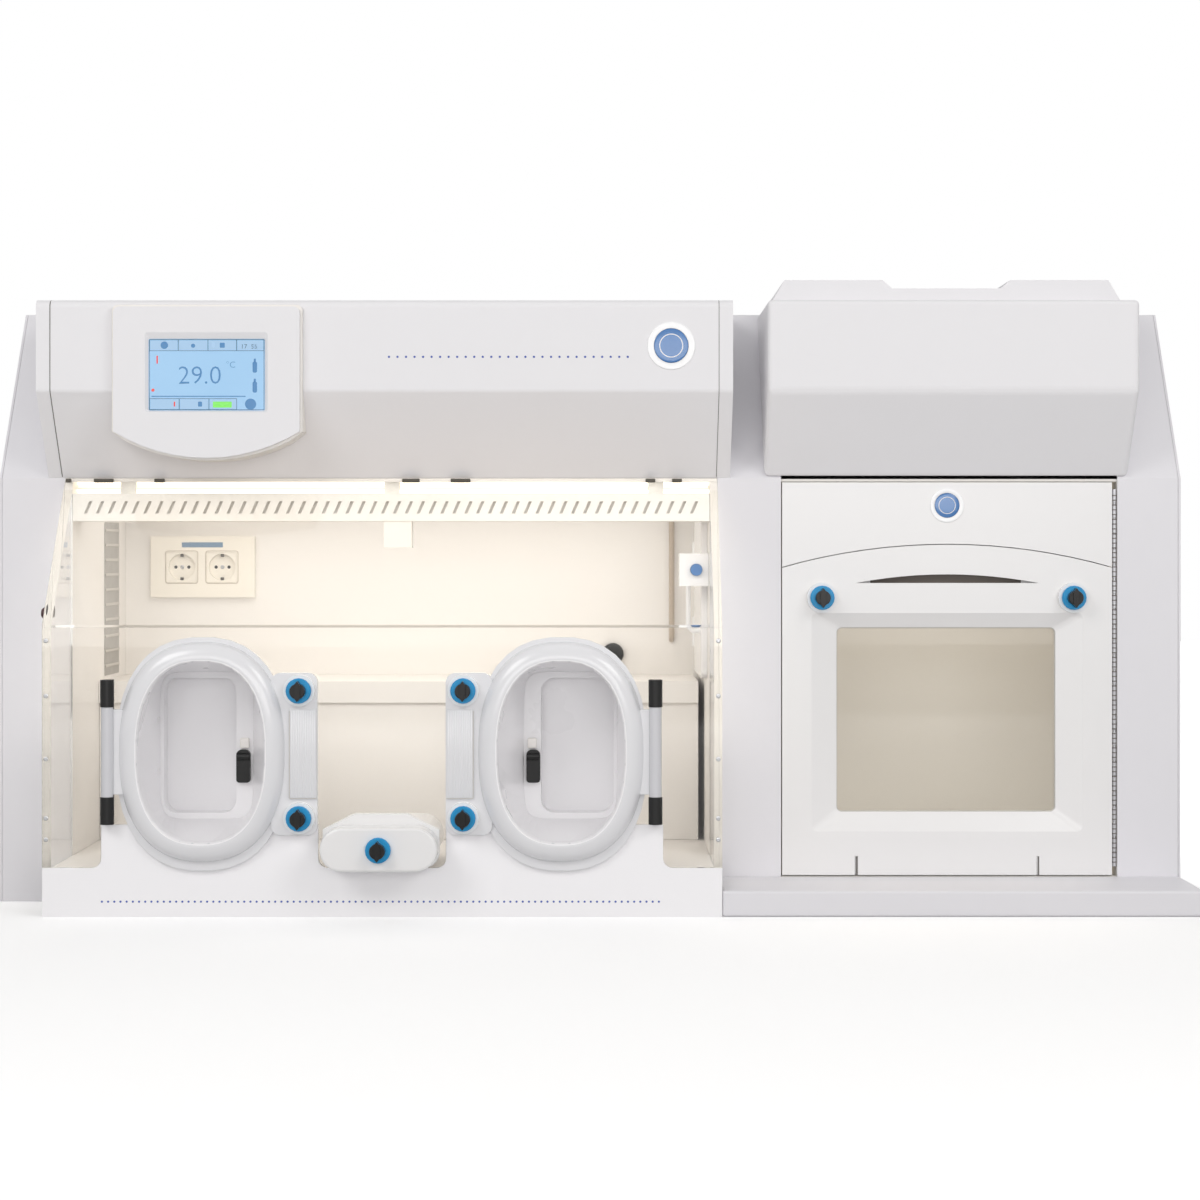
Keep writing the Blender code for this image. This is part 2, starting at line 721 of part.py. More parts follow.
def port(side):
    """A clear flange on a hinge, with the moulded pod that reaches into the chamber."""
    word = "left" if side < 0 else "right"
    x = port_x(side)

    def out(reach):
        """World X of a distance from the port's middle, away from the chamber's middle."""
        return x + side * reach

    swing = pivot(f"{word}_port_swing", (out(HINGE_REACH), FRONT - HINGE_STAND, PORT_Z))
    flange = port_flange(word, side, x, out)
    pod = port_pod(word, side, x, out)
    hinge_bracket(word, out)
    carry(swing, flange, pod)
    port_door(word, side, x, out, swing)
    for level, offset in (("upper", KNOB_RISE), ("lower", -KNOB_DROP)):
        place = (out(-KNOB_REACH), FRONT - GAP - EAR - COLLAR_HEIGHT, PORT_Z + offset)
        turn, knob = knob_at(f"{word}_port_{level}_knob", place, EAR + COLLAR_HEIGHT - GAP)
        carry(swing, turn)


def port_flange(word, side, x, out):
    face = FRONT - GAP
    ring = flat_piece(f"{word}_port_flange",
                      [oval(FLANGE_WIDTH / 2, FLANGE_HEIGHT / 2, PORT_ROUND, x, PORT_Z - FLANGE_DROP)],
                      "front", face - FLANGE, face, "clear_acrylic")
    middle = PORT_Z + (KNOB_RISE - KNOB_DROP) / 2
    ends = sorted((out(-PORT_WIDTH / 2 - RIM_WIDTH - 2 * GAP), out(-EAR_REACH)))
    edge = rounded_box(*ends, middle - EAR_HEIGHT / 2, middle + EAR_HEIGHT / 2, EAR_CORNER)
    join(ring, flat_piece(f"{word}_ear", [edge], "front", face - EAR, face))
    grip = sorted((out(-EAR_REACH + GRIP_INSET), out(-EAR_REACH + GRIP_INSET + GRIP_WIDTH)))
    join(ring, box(f"{word}_grip", (grip[0], face - EAR - GRIP_RAISE, middle - GRIP_HEIGHT / 2),
                   (grip[1], face - EAR / 2, middle + GRIP_HEIGHT / 2)))
    for offset in (KNOB_RISE, -KNOB_DROP):
        spot = (out(-KNOB_REACH), face - EAR - COLLAR_HEIGHT / 2 + 0.001, PORT_Z + offset)
        join(ring, rod(f"{word}_collar", "y", spot, COLLAR, COLLAR_HEIGHT + 0.002))
        cut(ring, rod(f"{word}_knob_bore", "y", (out(-KNOB_REACH), face - EAR, PORT_Z + offset),
                      KNOB_SHAFT + SHAFT_ROOM, 4 * COLLAR_HEIGHT))
    pin_y = FRONT - HINGE_STAND
    web = sorted((out(HINGE_REACH), out(FLANGE_WIDTH / 2 - WEB_LAP)))
    web_back = face - FLANGE + WEB_SINK
    length = 2 * (KNUCKLE_INNER - GAP)
    join(ring, box(f"{word}_hinge_web", (web[0], web_back - WEB_THICK, PORT_Z - length / 2 + WEB_END),
                   (web[1], web_back, PORT_Z + length / 2 - WEB_END)))
    end = (KNUCKLE_INNER + KNUCKLE_OUTER) / 2
    barrel = [(0, end), (HINGE_PIN, end), (HINGE_PIN, length / 2), (HINGE_BARREL, length / 2),
              (HINGE_BARREL, -length / 2), (HINGE_PIN, -length / 2), (HINGE_PIN, -end), (0, -end)]
    join(ring, turned(f"{word}_hinge_barrel", barrel, (out(HINGE_REACH), pin_y, PORT_Z), "z", steps=16))
    neck = port_hole_size()
    cut(ring, flat_piece(f"{word}_flange_hole", [oval(neck[0] + GAP, neck[1] + GAP, PORT_ROUND, x, PORT_Z)],
                         "front", face - 3 * FLANGE, face + FLANGE))
    return ring


def port_hole_size():
    """Half sizes of the pod's neck, which passes through the flange."""
    return PORT_WIDTH / 2 + POD_WALL, PORT_HEIGHT / 2 + POD_WALL


def port_pod(word, side, x, out):
    """A tube from an oval mouth with a rolled rim to a squarer rear opening."""
    mouth = (PORT_WIDTH / 2, PORT_HEIGHT / 2)
    neck = port_hole_size()
    rear = (POD_REAR_WIDTH / 2, POD_REAR_HEIGHT / 2)
    front = -RIM_REACH
    rim_back = -(GAP + FLANGE + GAP)
    rounding = RIM_WIDTH / 4

    def ring(half_width, half_height, distance, blend):
        power = PORT_ROUND + (POD_REAR_ROUND - PORT_ROUND) * blend
        middle = out(POD_REAR_SHIFT * blend)
        return [(u, behind(distance), v) for u, v in oval(half_width, half_height, power, middle, PORT_Z)]

    inside = []
    for step in range(5):
        blend = 1 - step / 4
        width = mouth[0] + (rear[0] - mouth[0]) * blend
        height = mouth[1] + (rear[1] - mouth[1]) * blend
        inside.append((width, height, POD_DEPTH * blend, blend))
    rim = [(mouth[0], mouth[1], front + 2 * rounding, 0.0),
           (mouth[0] + rounding, mouth[1] + rounding, front, 0.0),
           (mouth[0] + 3 * rounding, mouth[1] + 3 * rounding, front, 0.0),
           (mouth[0] + RIM_WIDTH, mouth[1] + RIM_WIDTH, front + 2 * rounding, 0.0),
           (mouth[0] + RIM_WIDTH, mouth[1] + RIM_WIDTH, rim_back, 0.0),
           (neck[0], neck[1], rim_back, 0.0)]
    outside = [(w + POD_WALL, h + POD_WALL, distance, blend) for w, h, distance, blend in reversed(inside)]
    rings = [ring(*values) for values in inside + rim + outside]
    pod = lofted(f"{word}_port_pod", rings, "moulded_white")
    pin_x, pin_y = out(POD_HINGE_REACH), behind(POD_HINGE_BEHIND)
    for level in (-1, 1):
        low, high = sorted((PORT_Z + level * (POD_BARREL_LENGTH / 2 + GAP),
                            PORT_Z + level * (POD_BARREL_LENGTH / 2 + GAP + POD_LUG_TALL)))
        lug = box(f"{word}_pod_lug", (pin_x - POD_LUG_HALF, pin_y - POD_LUG_LONG, low),
                  (pin_x + POD_LUG_HALF, pin_y + POD_BARREL, high))
        root = sorted((pin_x, pin_x - side * POD_FOOT))
        inset = 0.0005
        foot = box(f"{word}_pod_lug_foot", (root[0], pin_y - POD_LUG_LONG + 2 * inset, low + inset),
                   (root[1], behind(POD_DEPTH) - inset, high - inset))
        join(pod, lug)
        join(pod, foot)
    return pod


def hinge_bracket(word, out):
    """Two black knuckles on a strap that is screwed to the window."""
    x, y = out(HINGE_REACH), FRONT - HINGE_STAND
    strap = box(f"{word}_port_hinge", (x - KNUCKLE * 0.75, FRONT - GAP - HINGE_STRAP, PORT_Z - KNUCKLE_OUTER),
                (x + KNUCKLE * 0.75, FRONT - GAP, PORT_Z + KNUCKLE_OUTER), "black_plastic")
    middle = (KNUCKLE_OUTER + KNUCKLE_INNER) / 2
    for level in (-1, 1):
        join(strap, rod(f"{word}_knuckle", "z", (x, y, PORT_Z + level * middle), KNUCKLE,
                        KNUCKLE_OUTER - KNUCKLE_INNER))
        bore = rod(f"{word}_knuckle_bore", "z", (x, y, PORT_Z + level * KNUCKLE_INNER), HINGE_PIN + PIN_ROOM,
                   KNUCKLE_OUTER - KNUCKLE_INNER + 2 * GAP, steps=16)
        cut(strap, bore)


def port_door(word, side, x, out, swing):
    """The pod's rear door with its moulded pan, and the black latch on it."""
    face = behind(POD_DEPTH) + GAP
    half_width = POD_REAR_WIDTH / 2 + POD_WALL
    half_height = POD_REAR_HEIGHT / 2 + POD_WALL
    plate = flat_piece(f"{word}_port_door",
                       [oval(half_width, half_height, POD_REAR_ROUND, out(POD_REAR_SHIFT), PORT_Z)],
                       "front", face, face + POD_DOOR, "moulded_white")
    edges = sorted((out(PAN_LEFT), out(-PAN_RIGHT)))
    low, high = PORT_Z - PAN_HALF_HEIGHT, PORT_Z + PAN_HALF_HEIGHT
    pan_back = face + POD_DOOR + PAN_DEPTH
    pan = flat_piece(f"{word}_pan", [rounded_box(*edges, low, high, PAN_CORNER)],
                     "front", face + POD_DOOR / 2, pan_back)
    inner_edge = rounded_box(edges[0] + PAN_WALL, edges[1] - PAN_WALL, low + PAN_WALL, high - PAN_WALL,
                             PAN_CORNER - PAN_WALL)
    hollow = flat_piece(f"{word}_pan_hollow", [inner_edge], "front", face - PAN_WALL, pan_back - PAN_WALL)
    join(plate, pan)
    cut(plate, hollow)
    pin = (out(POD_HINGE_REACH), behind(POD_HINGE_BEHIND), PORT_Z)
    join(plate, rod(f"{word}_door_barrel", "z", pin, POD_BARREL, POD_BARREL_LENGTH, steps=12))
    web = sorted((pin[0], out(half_width + POD_REAR_SHIFT - 0.006)))
    join(plate, box(f"{word}_door_web", (web[0], face + 0.001, PORT_Z - POD_BARREL_LENGTH / 2 + 0.001),
                    (web[1], face + POD_DOOR - 0.001, PORT_Z + POD_BARREL_LENGTH / 2 - 0.001)))
    inward = pivot(f"{word}_port_door_swing", pin)
    carry(inward, plate)
    latch_z = PORT_Z - LATCH_TOP
    spot = (out(-LATCH_X), face, latch_z)
    latch = port_latch(word, spot)
    cut(plate, rod(f"{word}_latch_bore", "y", spot, LATCH_PIN + SHAFT_ROOM, 4 * POD_DOOR, steps=16))
    turn = pivot(f"{word}_port_latch_turn", spot)
    carry(turn, latch)
    carry(inward, turn)
    carry(swing, inward)


def port_latch(word, spot):
    """A thick-ended lever on a round pivot, hanging straight down when shut."""
    x, y, z = spot
    half = LATCH_WIDTH / 2
    foot = z - LATCH_LENGTH + half
    lever = rounded([(x - half, foot, LATCH_TIP_CORNER), (x + half, foot, LATCH_TIP_CORNER),
                     (x + half, z + half, LATCH_CORNER), (x - half, z + half, LATCH_CORNER)], 4)
    item = flat_piece(f"{word}_port_latch", [lever], "front", y - GAP - LATCH_THICK, y - GAP, "black_plastic")
    roll = (x, y - GAP - LATCH_THICK + 0.001, z)
    join(item, rod(f"{word}_latch_head", "x", roll, LATCH_HEAD, LATCH_WIDTH - 0.001, steps=16))
    cut(item, box(f"{word}_latch_head_trim", (x - half, y - GAP, z - half), (x + half, y + half, z + half)))
    stem = (x, y + POD_DOOR / 2 - 0.002, z)
    join(item, rod(f"{word}_latch_pin", "y", stem, LATCH_PIN, POD_DOOR, steps=16))
    return item


def knob_at(name, place, shaft):
    """A quarter-turn knob: ring, raised core and a ridge with pointed ends."""
    x, y, z = place
    top = KNOB_RING_HEIGHT
    peak = top + KNOB_CORE_HEIGHT
    profile = [(0, peak), (KNOB_CORE * 0.93, peak), (KNOB_CORE, peak - 0.001), (KNOB_CORE, top),
               (KNOB_RING * 0.93, top), (KNOB_RING, top - 0.0015), (KNOB_RING, GAP),
               (KNOB_SHAFT, GAP), (KNOB_SHAFT, -shaft), (0, -shaft)]
    knob = turned(name, profile, place, "y", "knob_blue")
    half = KNOB_RIDGE
    ridge = [(x, z + KNOB_TIP), (x - half, z + KNOB_CORE * 0.8), (x - half, z - KNOB_CORE * 0.8),
             (x, z - KNOB_TIP), (x + half, z - KNOB_CORE * 0.8), (x + half, z + KNOB_CORE * 0.8)]
    join(knob, flat_piece(f"{name}_ridge", [ridge], "front", y - peak - 0.002, y - top + 0.001))
    turn = pivot(f"{name}_turn", place)
    carry(turn, knob)
    return turn, knob


def sleeve_outline(room):
    return stadium(DRAWER_WIDTH + 2 * (DRAWER_ROOM + SLEEVE_WALL + room),
                   DRAWER_HEIGHT + 2 * (DRAWER_ROOM + SLEEVE_WALL + room), CHAMBER_X, ENTRY_Z)


def plate_entry():
    """A sleeve through the window and the drawer that passes one plate."""
    x = CHAMBER_X
    half = ENTRY_CAP_WIDTH / 2
    low = ENTRY_Z - ENTRY_CAP_HEIGHT / 2
    face = FRONT - GAP
    shoulders = rounded([(x - half, low, 0.020), (x + half, low, 0.020), (x + half, ENTRY_SHOULDER_Z, 0),
                         (x + ENTRY_TOP_WIDTH / 2, ENTRY_TOP_Z, 0), (x - ENTRY_TOP_WIDTH / 2, ENTRY_TOP_Z, 0),
                         (x - half, ENTRY_SHOULDER_Z, 0)])
    housing = flat_piece("entry_housing", [shoulders], "front", face - ENTRY_FACE, face, "moulded_white")
    join(housing, flat_piece("entry_sleeve", [sleeve_outline(0.0)], "front", face - ENTRY_FACE / 2,
                             behind(SLEEVE_LENGTH)))
    room = 2 * DRAWER_ROOM
    cut(housing, flat_piece("entry_bore", [stadium(DRAWER_WIDTH + room, DRAWER_HEIGHT + room, x, ENTRY_Z)],
                            "front", face - 2 * ENTRY_FACE, behind(SLEEVE_LENGTH + WALL)))
    cap_back = face - ENTRY_FACE - GAP
    cap = stadium(ENTRY_CAP_WIDTH, ENTRY_CAP_HEIGHT, x, ENTRY_Z)
    drawer = flat_piece("entry_drawer", [cap], "front", cap_back - ENTRY_CAP_DEPTH, cap_back, "moulded_white")
    soften(drawer, 0.003, 2, 60)
    body = flat_piece("entry_tray", [stadium(DRAWER_WIDTH, DRAWER_HEIGHT, x, ENTRY_Z)], "front",
                      cap_back - ENTRY_CAP_DEPTH / 2, behind(DRAWER_LENGTH))
    join(drawer, body)
    rear = behind(DRAWER_LENGTH)
    cut(drawer, box("tray_clearance", (x - DRAWER_WIDTH, FRONT + WALL, ENTRY_Z),
                    (x + DRAWER_WIDTH, rear + WALL, ENTRY_Z + DRAWER_HEIGHT)))
    cut(drawer, rod("plate_well", "z", (x, rear - PLATE_WELL - WALL, ENTRY_Z), PLATE_WELL, DRAWER_HEIGHT / 2))
    bore_depth = ENTRY_CAP_DEPTH / 2
    front = cap_back - ENTRY_CAP_DEPTH
    cut(drawer, rod("drawer_knob_bore", "y", (x, front, ENTRY_Z), KNOB_SHAFT + SHAFT_ROOM, 2 * bore_depth))
    slide = pivot("entry_drawer_slide", (x, cap_back, ENTRY_Z))
    carry(slide, drawer)
    turn, knob = knob_at("entry_knob", (x, front, ENTRY_Z), bore_depth - GAP)
    carry(slide, turn)


def arc_edge(z, left, right, steps=16):
    """Points along the airlock door's arched top edge, lifted to a height."""
    half = (right - left) / 2
    start = math.asin(half / ARC_RADIUS)
    points = []
    for step in range(steps + 1):
        turn = -start + 2 * start * step / steps
        points.append((AIRLOCK_X + ARC_RADIUS * math.sin(turn), z - ARC_RADIUS * (1 - math.cos(turn))))
    return points


def airlock():
    left, right = FRONT_LEFT, FRONT_RIGHT
    face = CABINET_FRONT + 0.0005
    axis_x, axis_y = AIRLOCK_RIGHT - PIANO_ROOM - PIANO_RADIUS, CABINET_FRONT + PIANO_RADIUS
    swing = pivot("airlock_front_swing", (axis_x, axis_y, FOLD_Z / 2))
    frame = airlock_frame(left, right, face)
    carry(swing, frame)
    hinge_pin = (AIRLOCK_X, face + DOOR_PIVOT_IN, DOOR_BOTTOM_Z + DOOR_PIVOT_UP)
    drop = pivot("airlock_door_drop", hinge_pin)
    door, pane = airlock_door(left, right, face)
    carry(drop, door, pane)
    carry(swing, drop)
    for word, side in (("left", -1), ("right", 1)):
        place = (AIRLOCK_X + side * AIRLOCK_KNOB_SPACING / 2, face - COLLAR_HEIGHT, AIRLOCK_KNOB_Z)
        turn, knob = knob_at(f"airlock_{word}_knob", place, COLLAR_HEIGHT + FRONT_THICK / 2)
        carry(drop, turn)
    airlock_liner()
    piano_hinge(axis_x, axis_y)
    airlock_shelf()


def airlock_frame(left, right, face):
    """The arched fascia over a thin ring that carries the door's two hinge lugs."""
    top = AIRLOCK_TOP_Z - 0.001
    arch = arc_edge(ARC_TOP_Z + ARC_ROOM, left, right)
    outline = arch + [(right, top), (left, top)]
    ring_front = face + FRONT_THICK + RING_GAP
    ring_middle = ring_front + RING_THICK / 2
    frame = flat_piece("airlock_frame", [outline], "front", face, ring_middle, "moulded_white")
    hole_half = GLASS_WIDTH / 2 + BEVEL_SIDE / 2
    low = DOOR_BOTTOM_Z
    way = rounded_box(AIRLOCK_X - hole_half, AIRLOCK_X + hole_half, GLASS_BOTTOM_Z - BEVEL_BOTTOM / 2,
                      GLASS_TOP_Z + BEVEL_TOP / 2, RING_CORNER)
    edge = [(left, low), (right, low), (right, top), (left, top)]
    ring = flat_piece("airlock_ring", [edge, way], "front", ring_front, ring_front + RING_THICK)
    join(frame, ring)
    for side in (-1, 1):
        x = AIRLOCK_X + side * LUG_SPACING / 2
        join(frame, box("airlock_lug", (x - LUG_WIDTH / 2, face + 0.002, low + 0.0003),
                        (x + LUG_WIDTH / 2, ring_front + RING_THICK / 2, low + DOOR_PIVOT_UP + LUG_HEIGHT)))
    return frame


def airlock_door(left, right, face):
    """A moulded door with a bevelled window, a finger slot and two knob collars."""
    arch = arc_edge(ARC_TOP_Z, left, right)
    outline = [(left, DOOR_BOTTOM_Z)] + arch + [(right, DOOR_BOTTOM_Z)]
    door = flat_piece("airlock_door", [outline], "front", face, face + FRONT_THICK, "moulded_white")
    half = GLASS_WIDTH / 2
    sight = (AIRLOCK_X - half, AIRLOCK_X + half, GLASS_BOTTOM_Z, GLASS_TOP_Z)
    outer = (AIRLOCK_X - half - BEVEL_SIDE, AIRLOCK_X + half + BEVEL_SIDE,
             GLASS_BOTTOM_Z - BEVEL_BOTTOM, GLASS_TOP_Z + BEVEL_TOP)
    rings = []
    for edges, distance in ((outer, 0.0), (sight, BEVEL_DEPTH)):
        loop = rounded_box(*edges, GLASS_CORNER)
        rings.append([(u, face + distance, v) for u, v in loop])
    front_ring = [(u, face - 0.002, v) for u, _, v in rings[0]]
    rear_ring = [(u, face + FRONT_THICK + 0.002, v) for u, _, v in rings[1]]
    cut(door, lofted("door_bevel", [front_ring] + rings + [rear_ring], loop=False))
    lap = PANE_REBATE
    rebate = rounded_box(sight[0] - lap, sight[1] + lap, sight[2] - lap, sight[3] + lap, GLASS_CORNER)
    inner = face + FRONT_THICK - PANE - PANE_ROOM
    cut(door, flat_piece("pane_rebate", [rebate], "front", inner, face + 2 * FRONT_THICK))
    room = PANE_ROOM
    glass = rounded_box(sight[0] - lap + room, sight[1] + lap - room, sight[2] - lap + room,
                        sight[3] + lap - room, GLASS_CORNER)
    pane = flat_piece("airlock_pane", [glass], "front", inner + room, inner + room + PANE, "clear_acrylic")
    rise = (SLOT_HALF ** 2 + SLOT_RISE ** 2) / (2 * SLOT_RISE)
    start = math.asin(SLOT_HALF / rise)
    slot = []
    for step in range(13):
        turn = -start + 2 * start * step / 12
        slot.append((AIRLOCK_X + rise * math.sin(turn), SLOT_Z + SLOT_RISE - rise * (1 - math.cos(turn))))
    cut(door, flat_piece("finger_slot", [slot], "front", face - SLOT_DEPTH, face + SLOT_DEPTH))
    for side in (-1, 1):
        x = AIRLOCK_X + side * AIRLOCK_KNOB_SPACING / 2
        join(door, rod("door_collar", "y", (x, face - COLLAR_HEIGHT / 2 + 0.002, AIRLOCK_KNOB_Z),
                       COLLAR, COLLAR_HEIGHT + 0.004))
        cut(door, rod("door_knob_bore", "y", (x, face, AIRLOCK_KNOB_Z), KNOB_SHAFT + SHAFT_ROOM,
                      2 * (FRONT_THICK / 2 + COLLAR_HEIGHT)))
        lug_x = AIRLOCK_X + side * LUG_SPACING / 2
        slit_top = DOOR_BOTTOM_Z + DOOR_PIVOT_UP + LUG_HEIGHT + 0.0006
        cut(door, box("lug_slit", (lug_x - LUG_SLIT / 2, face - 0.01, DOOR_BOTTOM_Z - 0.01),
                      (lug_x + LUG_SLIT / 2, face + 2 * FRONT_THICK, slit_top)))
    return door, pane


def airlock_liner():
    """The airlock's cavity, open to the front and through a short tunnel to the chamber."""
    left, right = AIRLOCK_LEFT, AIRLOCK_RIGHT
    front, rear = CABINET_FRONT + SHEET + GAP, behind(AIRLOCK_BACK)
    liner = box("airlock_liner", (left - LINER, front, AIRLOCK_FLOOR_Z - LINER),
                (right + LINER, rear + LINER, AIRLOCK_TOP_Z + LINER), "chamber_cream")
    mouth = (behind(PASS_FRONT), behind(PASS_BACK), PASS_BOTTOM_Z, PASS_TOP_Z)
    join(liner, box("tunnel", (CHAMBER_RIGHT + GAP, mouth[0] - LINER, mouth[2] - LINER),
                    (left, mouth[1] + LINER, mouth[3] + LINER)))
    cut(liner, box("cavity", (left, front - 0.01, AIRLOCK_FLOOR_Z), (right, rear, AIRLOCK_TOP_Z)))
    cut(liner, box("tunnel_way", (CHAMBER_RIGHT - WALL, mouth[0], mouth[2]),
                   (left + WALL, mouth[1], mouth[3])))


def piano_hinge(x, y):
    low, high = AIRLOCK_FLOOR_Z + 0.010, AIRLOCK_TOP_Z - 0.010
    count = int((high - low) / PIANO_PITCH)
    step = (high - low) / count
    groove = PIANO_RADIUS * 0.75
    profile = [(0, high)]
    for index in range(count):
        top = high - index * step
        profile += [(PIANO_RADIUS, top), (PIANO_RADIUS, top - step * 0.86)]
        if index < count - 1:
            profile += [(groove, top - step * 0.86), (groove, top - step)]
    profile.append((0, profile[-1][1]))
    turned("airlock_hinge", profile, (x, y, 0), "z", "hinge_grey", steps=6)


def airlock_shelf():
    left, right = CHAMBER_RIGHT + GAP, WIDTH / 2
    shelf = box("airlock_shelf", (left, FRONT, 0), (right, CABINET_FRONT - GAP, SHELF_HEIGHT),
                "cabinet_white")
    soften(shelf, 0.003, 2)
    wall = SHELF_WALL
    cut(shelf, box("shelf_hollow", (left + wall, FRONT + wall, -wall),
                   (right - wall, CABINET_FRONT - GAP - wall, SHELF_HEIGHT - wall)))


def inner_airlock_door():
    """A door on the chamber side of the tunnel, hinged at its rear edge."""
    outer = INNER_RIGHT
    inner = outer - INNER_DOOR
    front, rear = behind(PASS_FRONT - PASS_LAP), behind(PASS_BACK + PASS_LAP)
    low, high = PASS_BOTTOM_Z - PASS_LAP, PASS_TOP_Z + PASS_LAP
    door = flat_piece("inner_airlock_door", [rounded_box(front, rear, low, high, 0.010)], "side",
                      inner, outer, "moulded_white")
    pin = (inner + 0.001, rear + INNER_BARREL - 0.001, (low + high) / 2)
    for level in (-1, 1):
        spot = (pin[0], pin[1], pin[2] + level * (high - low) / 4)
        join(door, rod("inner_door_barrel", "z", spot, INNER_BARREL, 0.040, steps=16))
    join(door, pull_handle(inner, front + 0.030, (low + high) / 2))
    swing = pivot("inner_door_swing", pin)
    carry(swing, door)


def pull_handle(x, y, z):
    """A bent rod: two feet and a grip between them."""
    curve = bpy.data.curves.new("inner_handle", "CURVE")
    curve.dimensions = "3D"
    curve.bevel_depth = HANDLE_RADIUS
    curve.bevel_resolution = 2
    curve.use_fill_caps = True
    half, reach, bend = 0.045, HANDLE_REACH - HANDLE_RADIUS, 0.006
    points = [(x + 0.002, -half), (x - reach + bend, -half), (x - reach, -half + bend),
              (x - reach, half - bend), (x - reach + bend, half), (x + 0.002, half)]
    spline = curve.splines.new("POLY")
    spline.points.add(len(points) - 1)
    for point, (u, v) in zip(spline.points, points):
        point.co = (u, y, z + v, 1.0)
    return solid_from_curve("inner_handle", curve)


def solid_from_curve(name, curve, slot=None):
    """A curve's mesh with its caps welded on."""
    guide = bpy.data.objects.new(name, curve)
    bpy.context.scene.collection.objects.link(guide)
    graph = bpy.context.evaluated_depsgraph_get()
    graph.update()
    mesh = bpy.data.meshes.new_from_object(guide.evaluated_get(graph))
    matrix = guide.matrix_world.copy()
    bpy.data.objects.remove(guide, do_unlink=True)
    form = bmesh.new()
    form.from_mesh(mesh)
    bmesh.ops.remove_doubles(form, verts=form.verts, dist=1e-6)
    bmesh.ops.recalc_face_normals(form, faces=form.faces)
    form.to_mesh(mesh)
    form.free()
    item = keep(name, mesh, matrix, PARTS if slot else CUTTERS)
    return dress(smooth(item), slot) if slot else item


def hood_corners(grow=0.0):
    """The hood's front corners and the two points where it meets the leaning front."""
    lean = shifted(FOLD, TOP_FRONT, -GAP)
    lower = shifted((CABINET_FRONT, FOLD_Z + GAP), (behind(HOOD_FRONT), HOOD_LOWER_Z), -grow)
    front = shifted((behind(HOOD_FRONT), HOOD_LOWER_Z), (behind(HOOD_FRONT), HOOD_TOP_Z), -grow)
    top = shifted((behind(HOOD_FRONT), HOOD_TOP_Z), (BACK, HOOD_TOP_Z), -grow)
    return meet(*lower, *lean), meet(*lower, *front), meet(*front, *top), meet(*top, *lean)


def hood_section(wall=None, radius=HOOD_ROUND):
    """The hood seen from the side: filled to the leaning front, or a skin of a thickness."""
    foot, chin, brow, crown = hood_corners()
    outer = [(*foot, 0), (*chin, radius), (*brow, radius), (*crown, 0)]
    if wall is None:
        return rounded(outer)
    inner_radius = max(radius - wall, 0)
    foot2, chin2, brow2, crown2 = hood_corners(-wall)
    return rounded(outer + [(*crown2, 0), (*brow2, inner_radius), (*chin2, inner_radius), (*foot2, 0)])


def left_hood():
    left, right = LEFT_HOOD_LEFT, LEFT_HOOD_RIGHT
    flat_piece("left_hood_outer_cap", [hood_section()], "side", left, left + HOOD_END, "hood_white")
    flat_piece("left_hood", [hood_section(HOOD_WALL)], "side", left + HOOD_END + GAP,
               right - HOOD_END - GAP, "hood_white")
    flat_piece("left_hood_inner_cap", [hood_section()], "side", right - HOOD_END, right, "hood_white")


def right_hood():
    """One moulded cover with a stepped hump that runs back over the cabinet's top."""
    x = RIGHT_HOOD_X
    half = RIGHT_HOOD_WIDTH / 2
    hood = flat_piece("right_hood", [hood_section(radius=0)], "side", x - half, x + half, "hood_white")
    soften(hood, RIGHT_HOOD_ROUND, 3, 30)
    foot, chin, brow, crown = hood_corners(-HOOD_WALL)
    away = Vector((1, 0))
    hollow = [foot, chin, brow, tuple(Vector(crown) + away), tuple(Vector(foot) + away)]
    cut(hood, flat_piece("right_hood_hollow", [hollow], "side", x - half + HOOD_WALL, x + half - HOOD_WALL))
    low = HEIGHT + GAP
    crest = HEIGHT + HUMP_HEIGHT
    dip = DIP_HALF - DIP_SLOPE
    outline = [(x - HUMP_BASE_HALF, low), (x + HUMP_BASE_HALF, low), (x + HUMP_TOP_HALF, crest),
               (x + DIP_HALF, crest), (x + dip, crest - HUMP_DIP), (x - dip, crest - HUMP_DIP),
               (x - DIP_HALF, crest), (x - HUMP_TOP_HALF, crest)]
    hump = flat_piece("hump", [outline], "front", behind(HUMP_FRONT), behind(HUMP_BACK))
    join(hood, hump)
    neck = (behind(HUMP_FRONT), HOOD_TOP_Z - HOOD_WALL / 2), (TOP_FRONT[0] - 0.010, low + 0.001)
    join(hood, box("hump_neck", (x - HUMP_TOP_HALF, neck[0][0] + 0.001, neck[0][1]),
                   (x + HUMP_TOP_HALF, neck[1][0], neck[1][1])))
    inside = HUMP_TOP_HALF - HUMP_WALL
    cut(hood, box("hump_hollow", (x - inside, behind(HUMP_FRONT) + HUMP_WALL, HOOD_TOP_Z - 0.010),
                  (x + inside, TOP_FRONT[0] - 0.020, crest - HUMP_DIP - HUMP_WALL)))


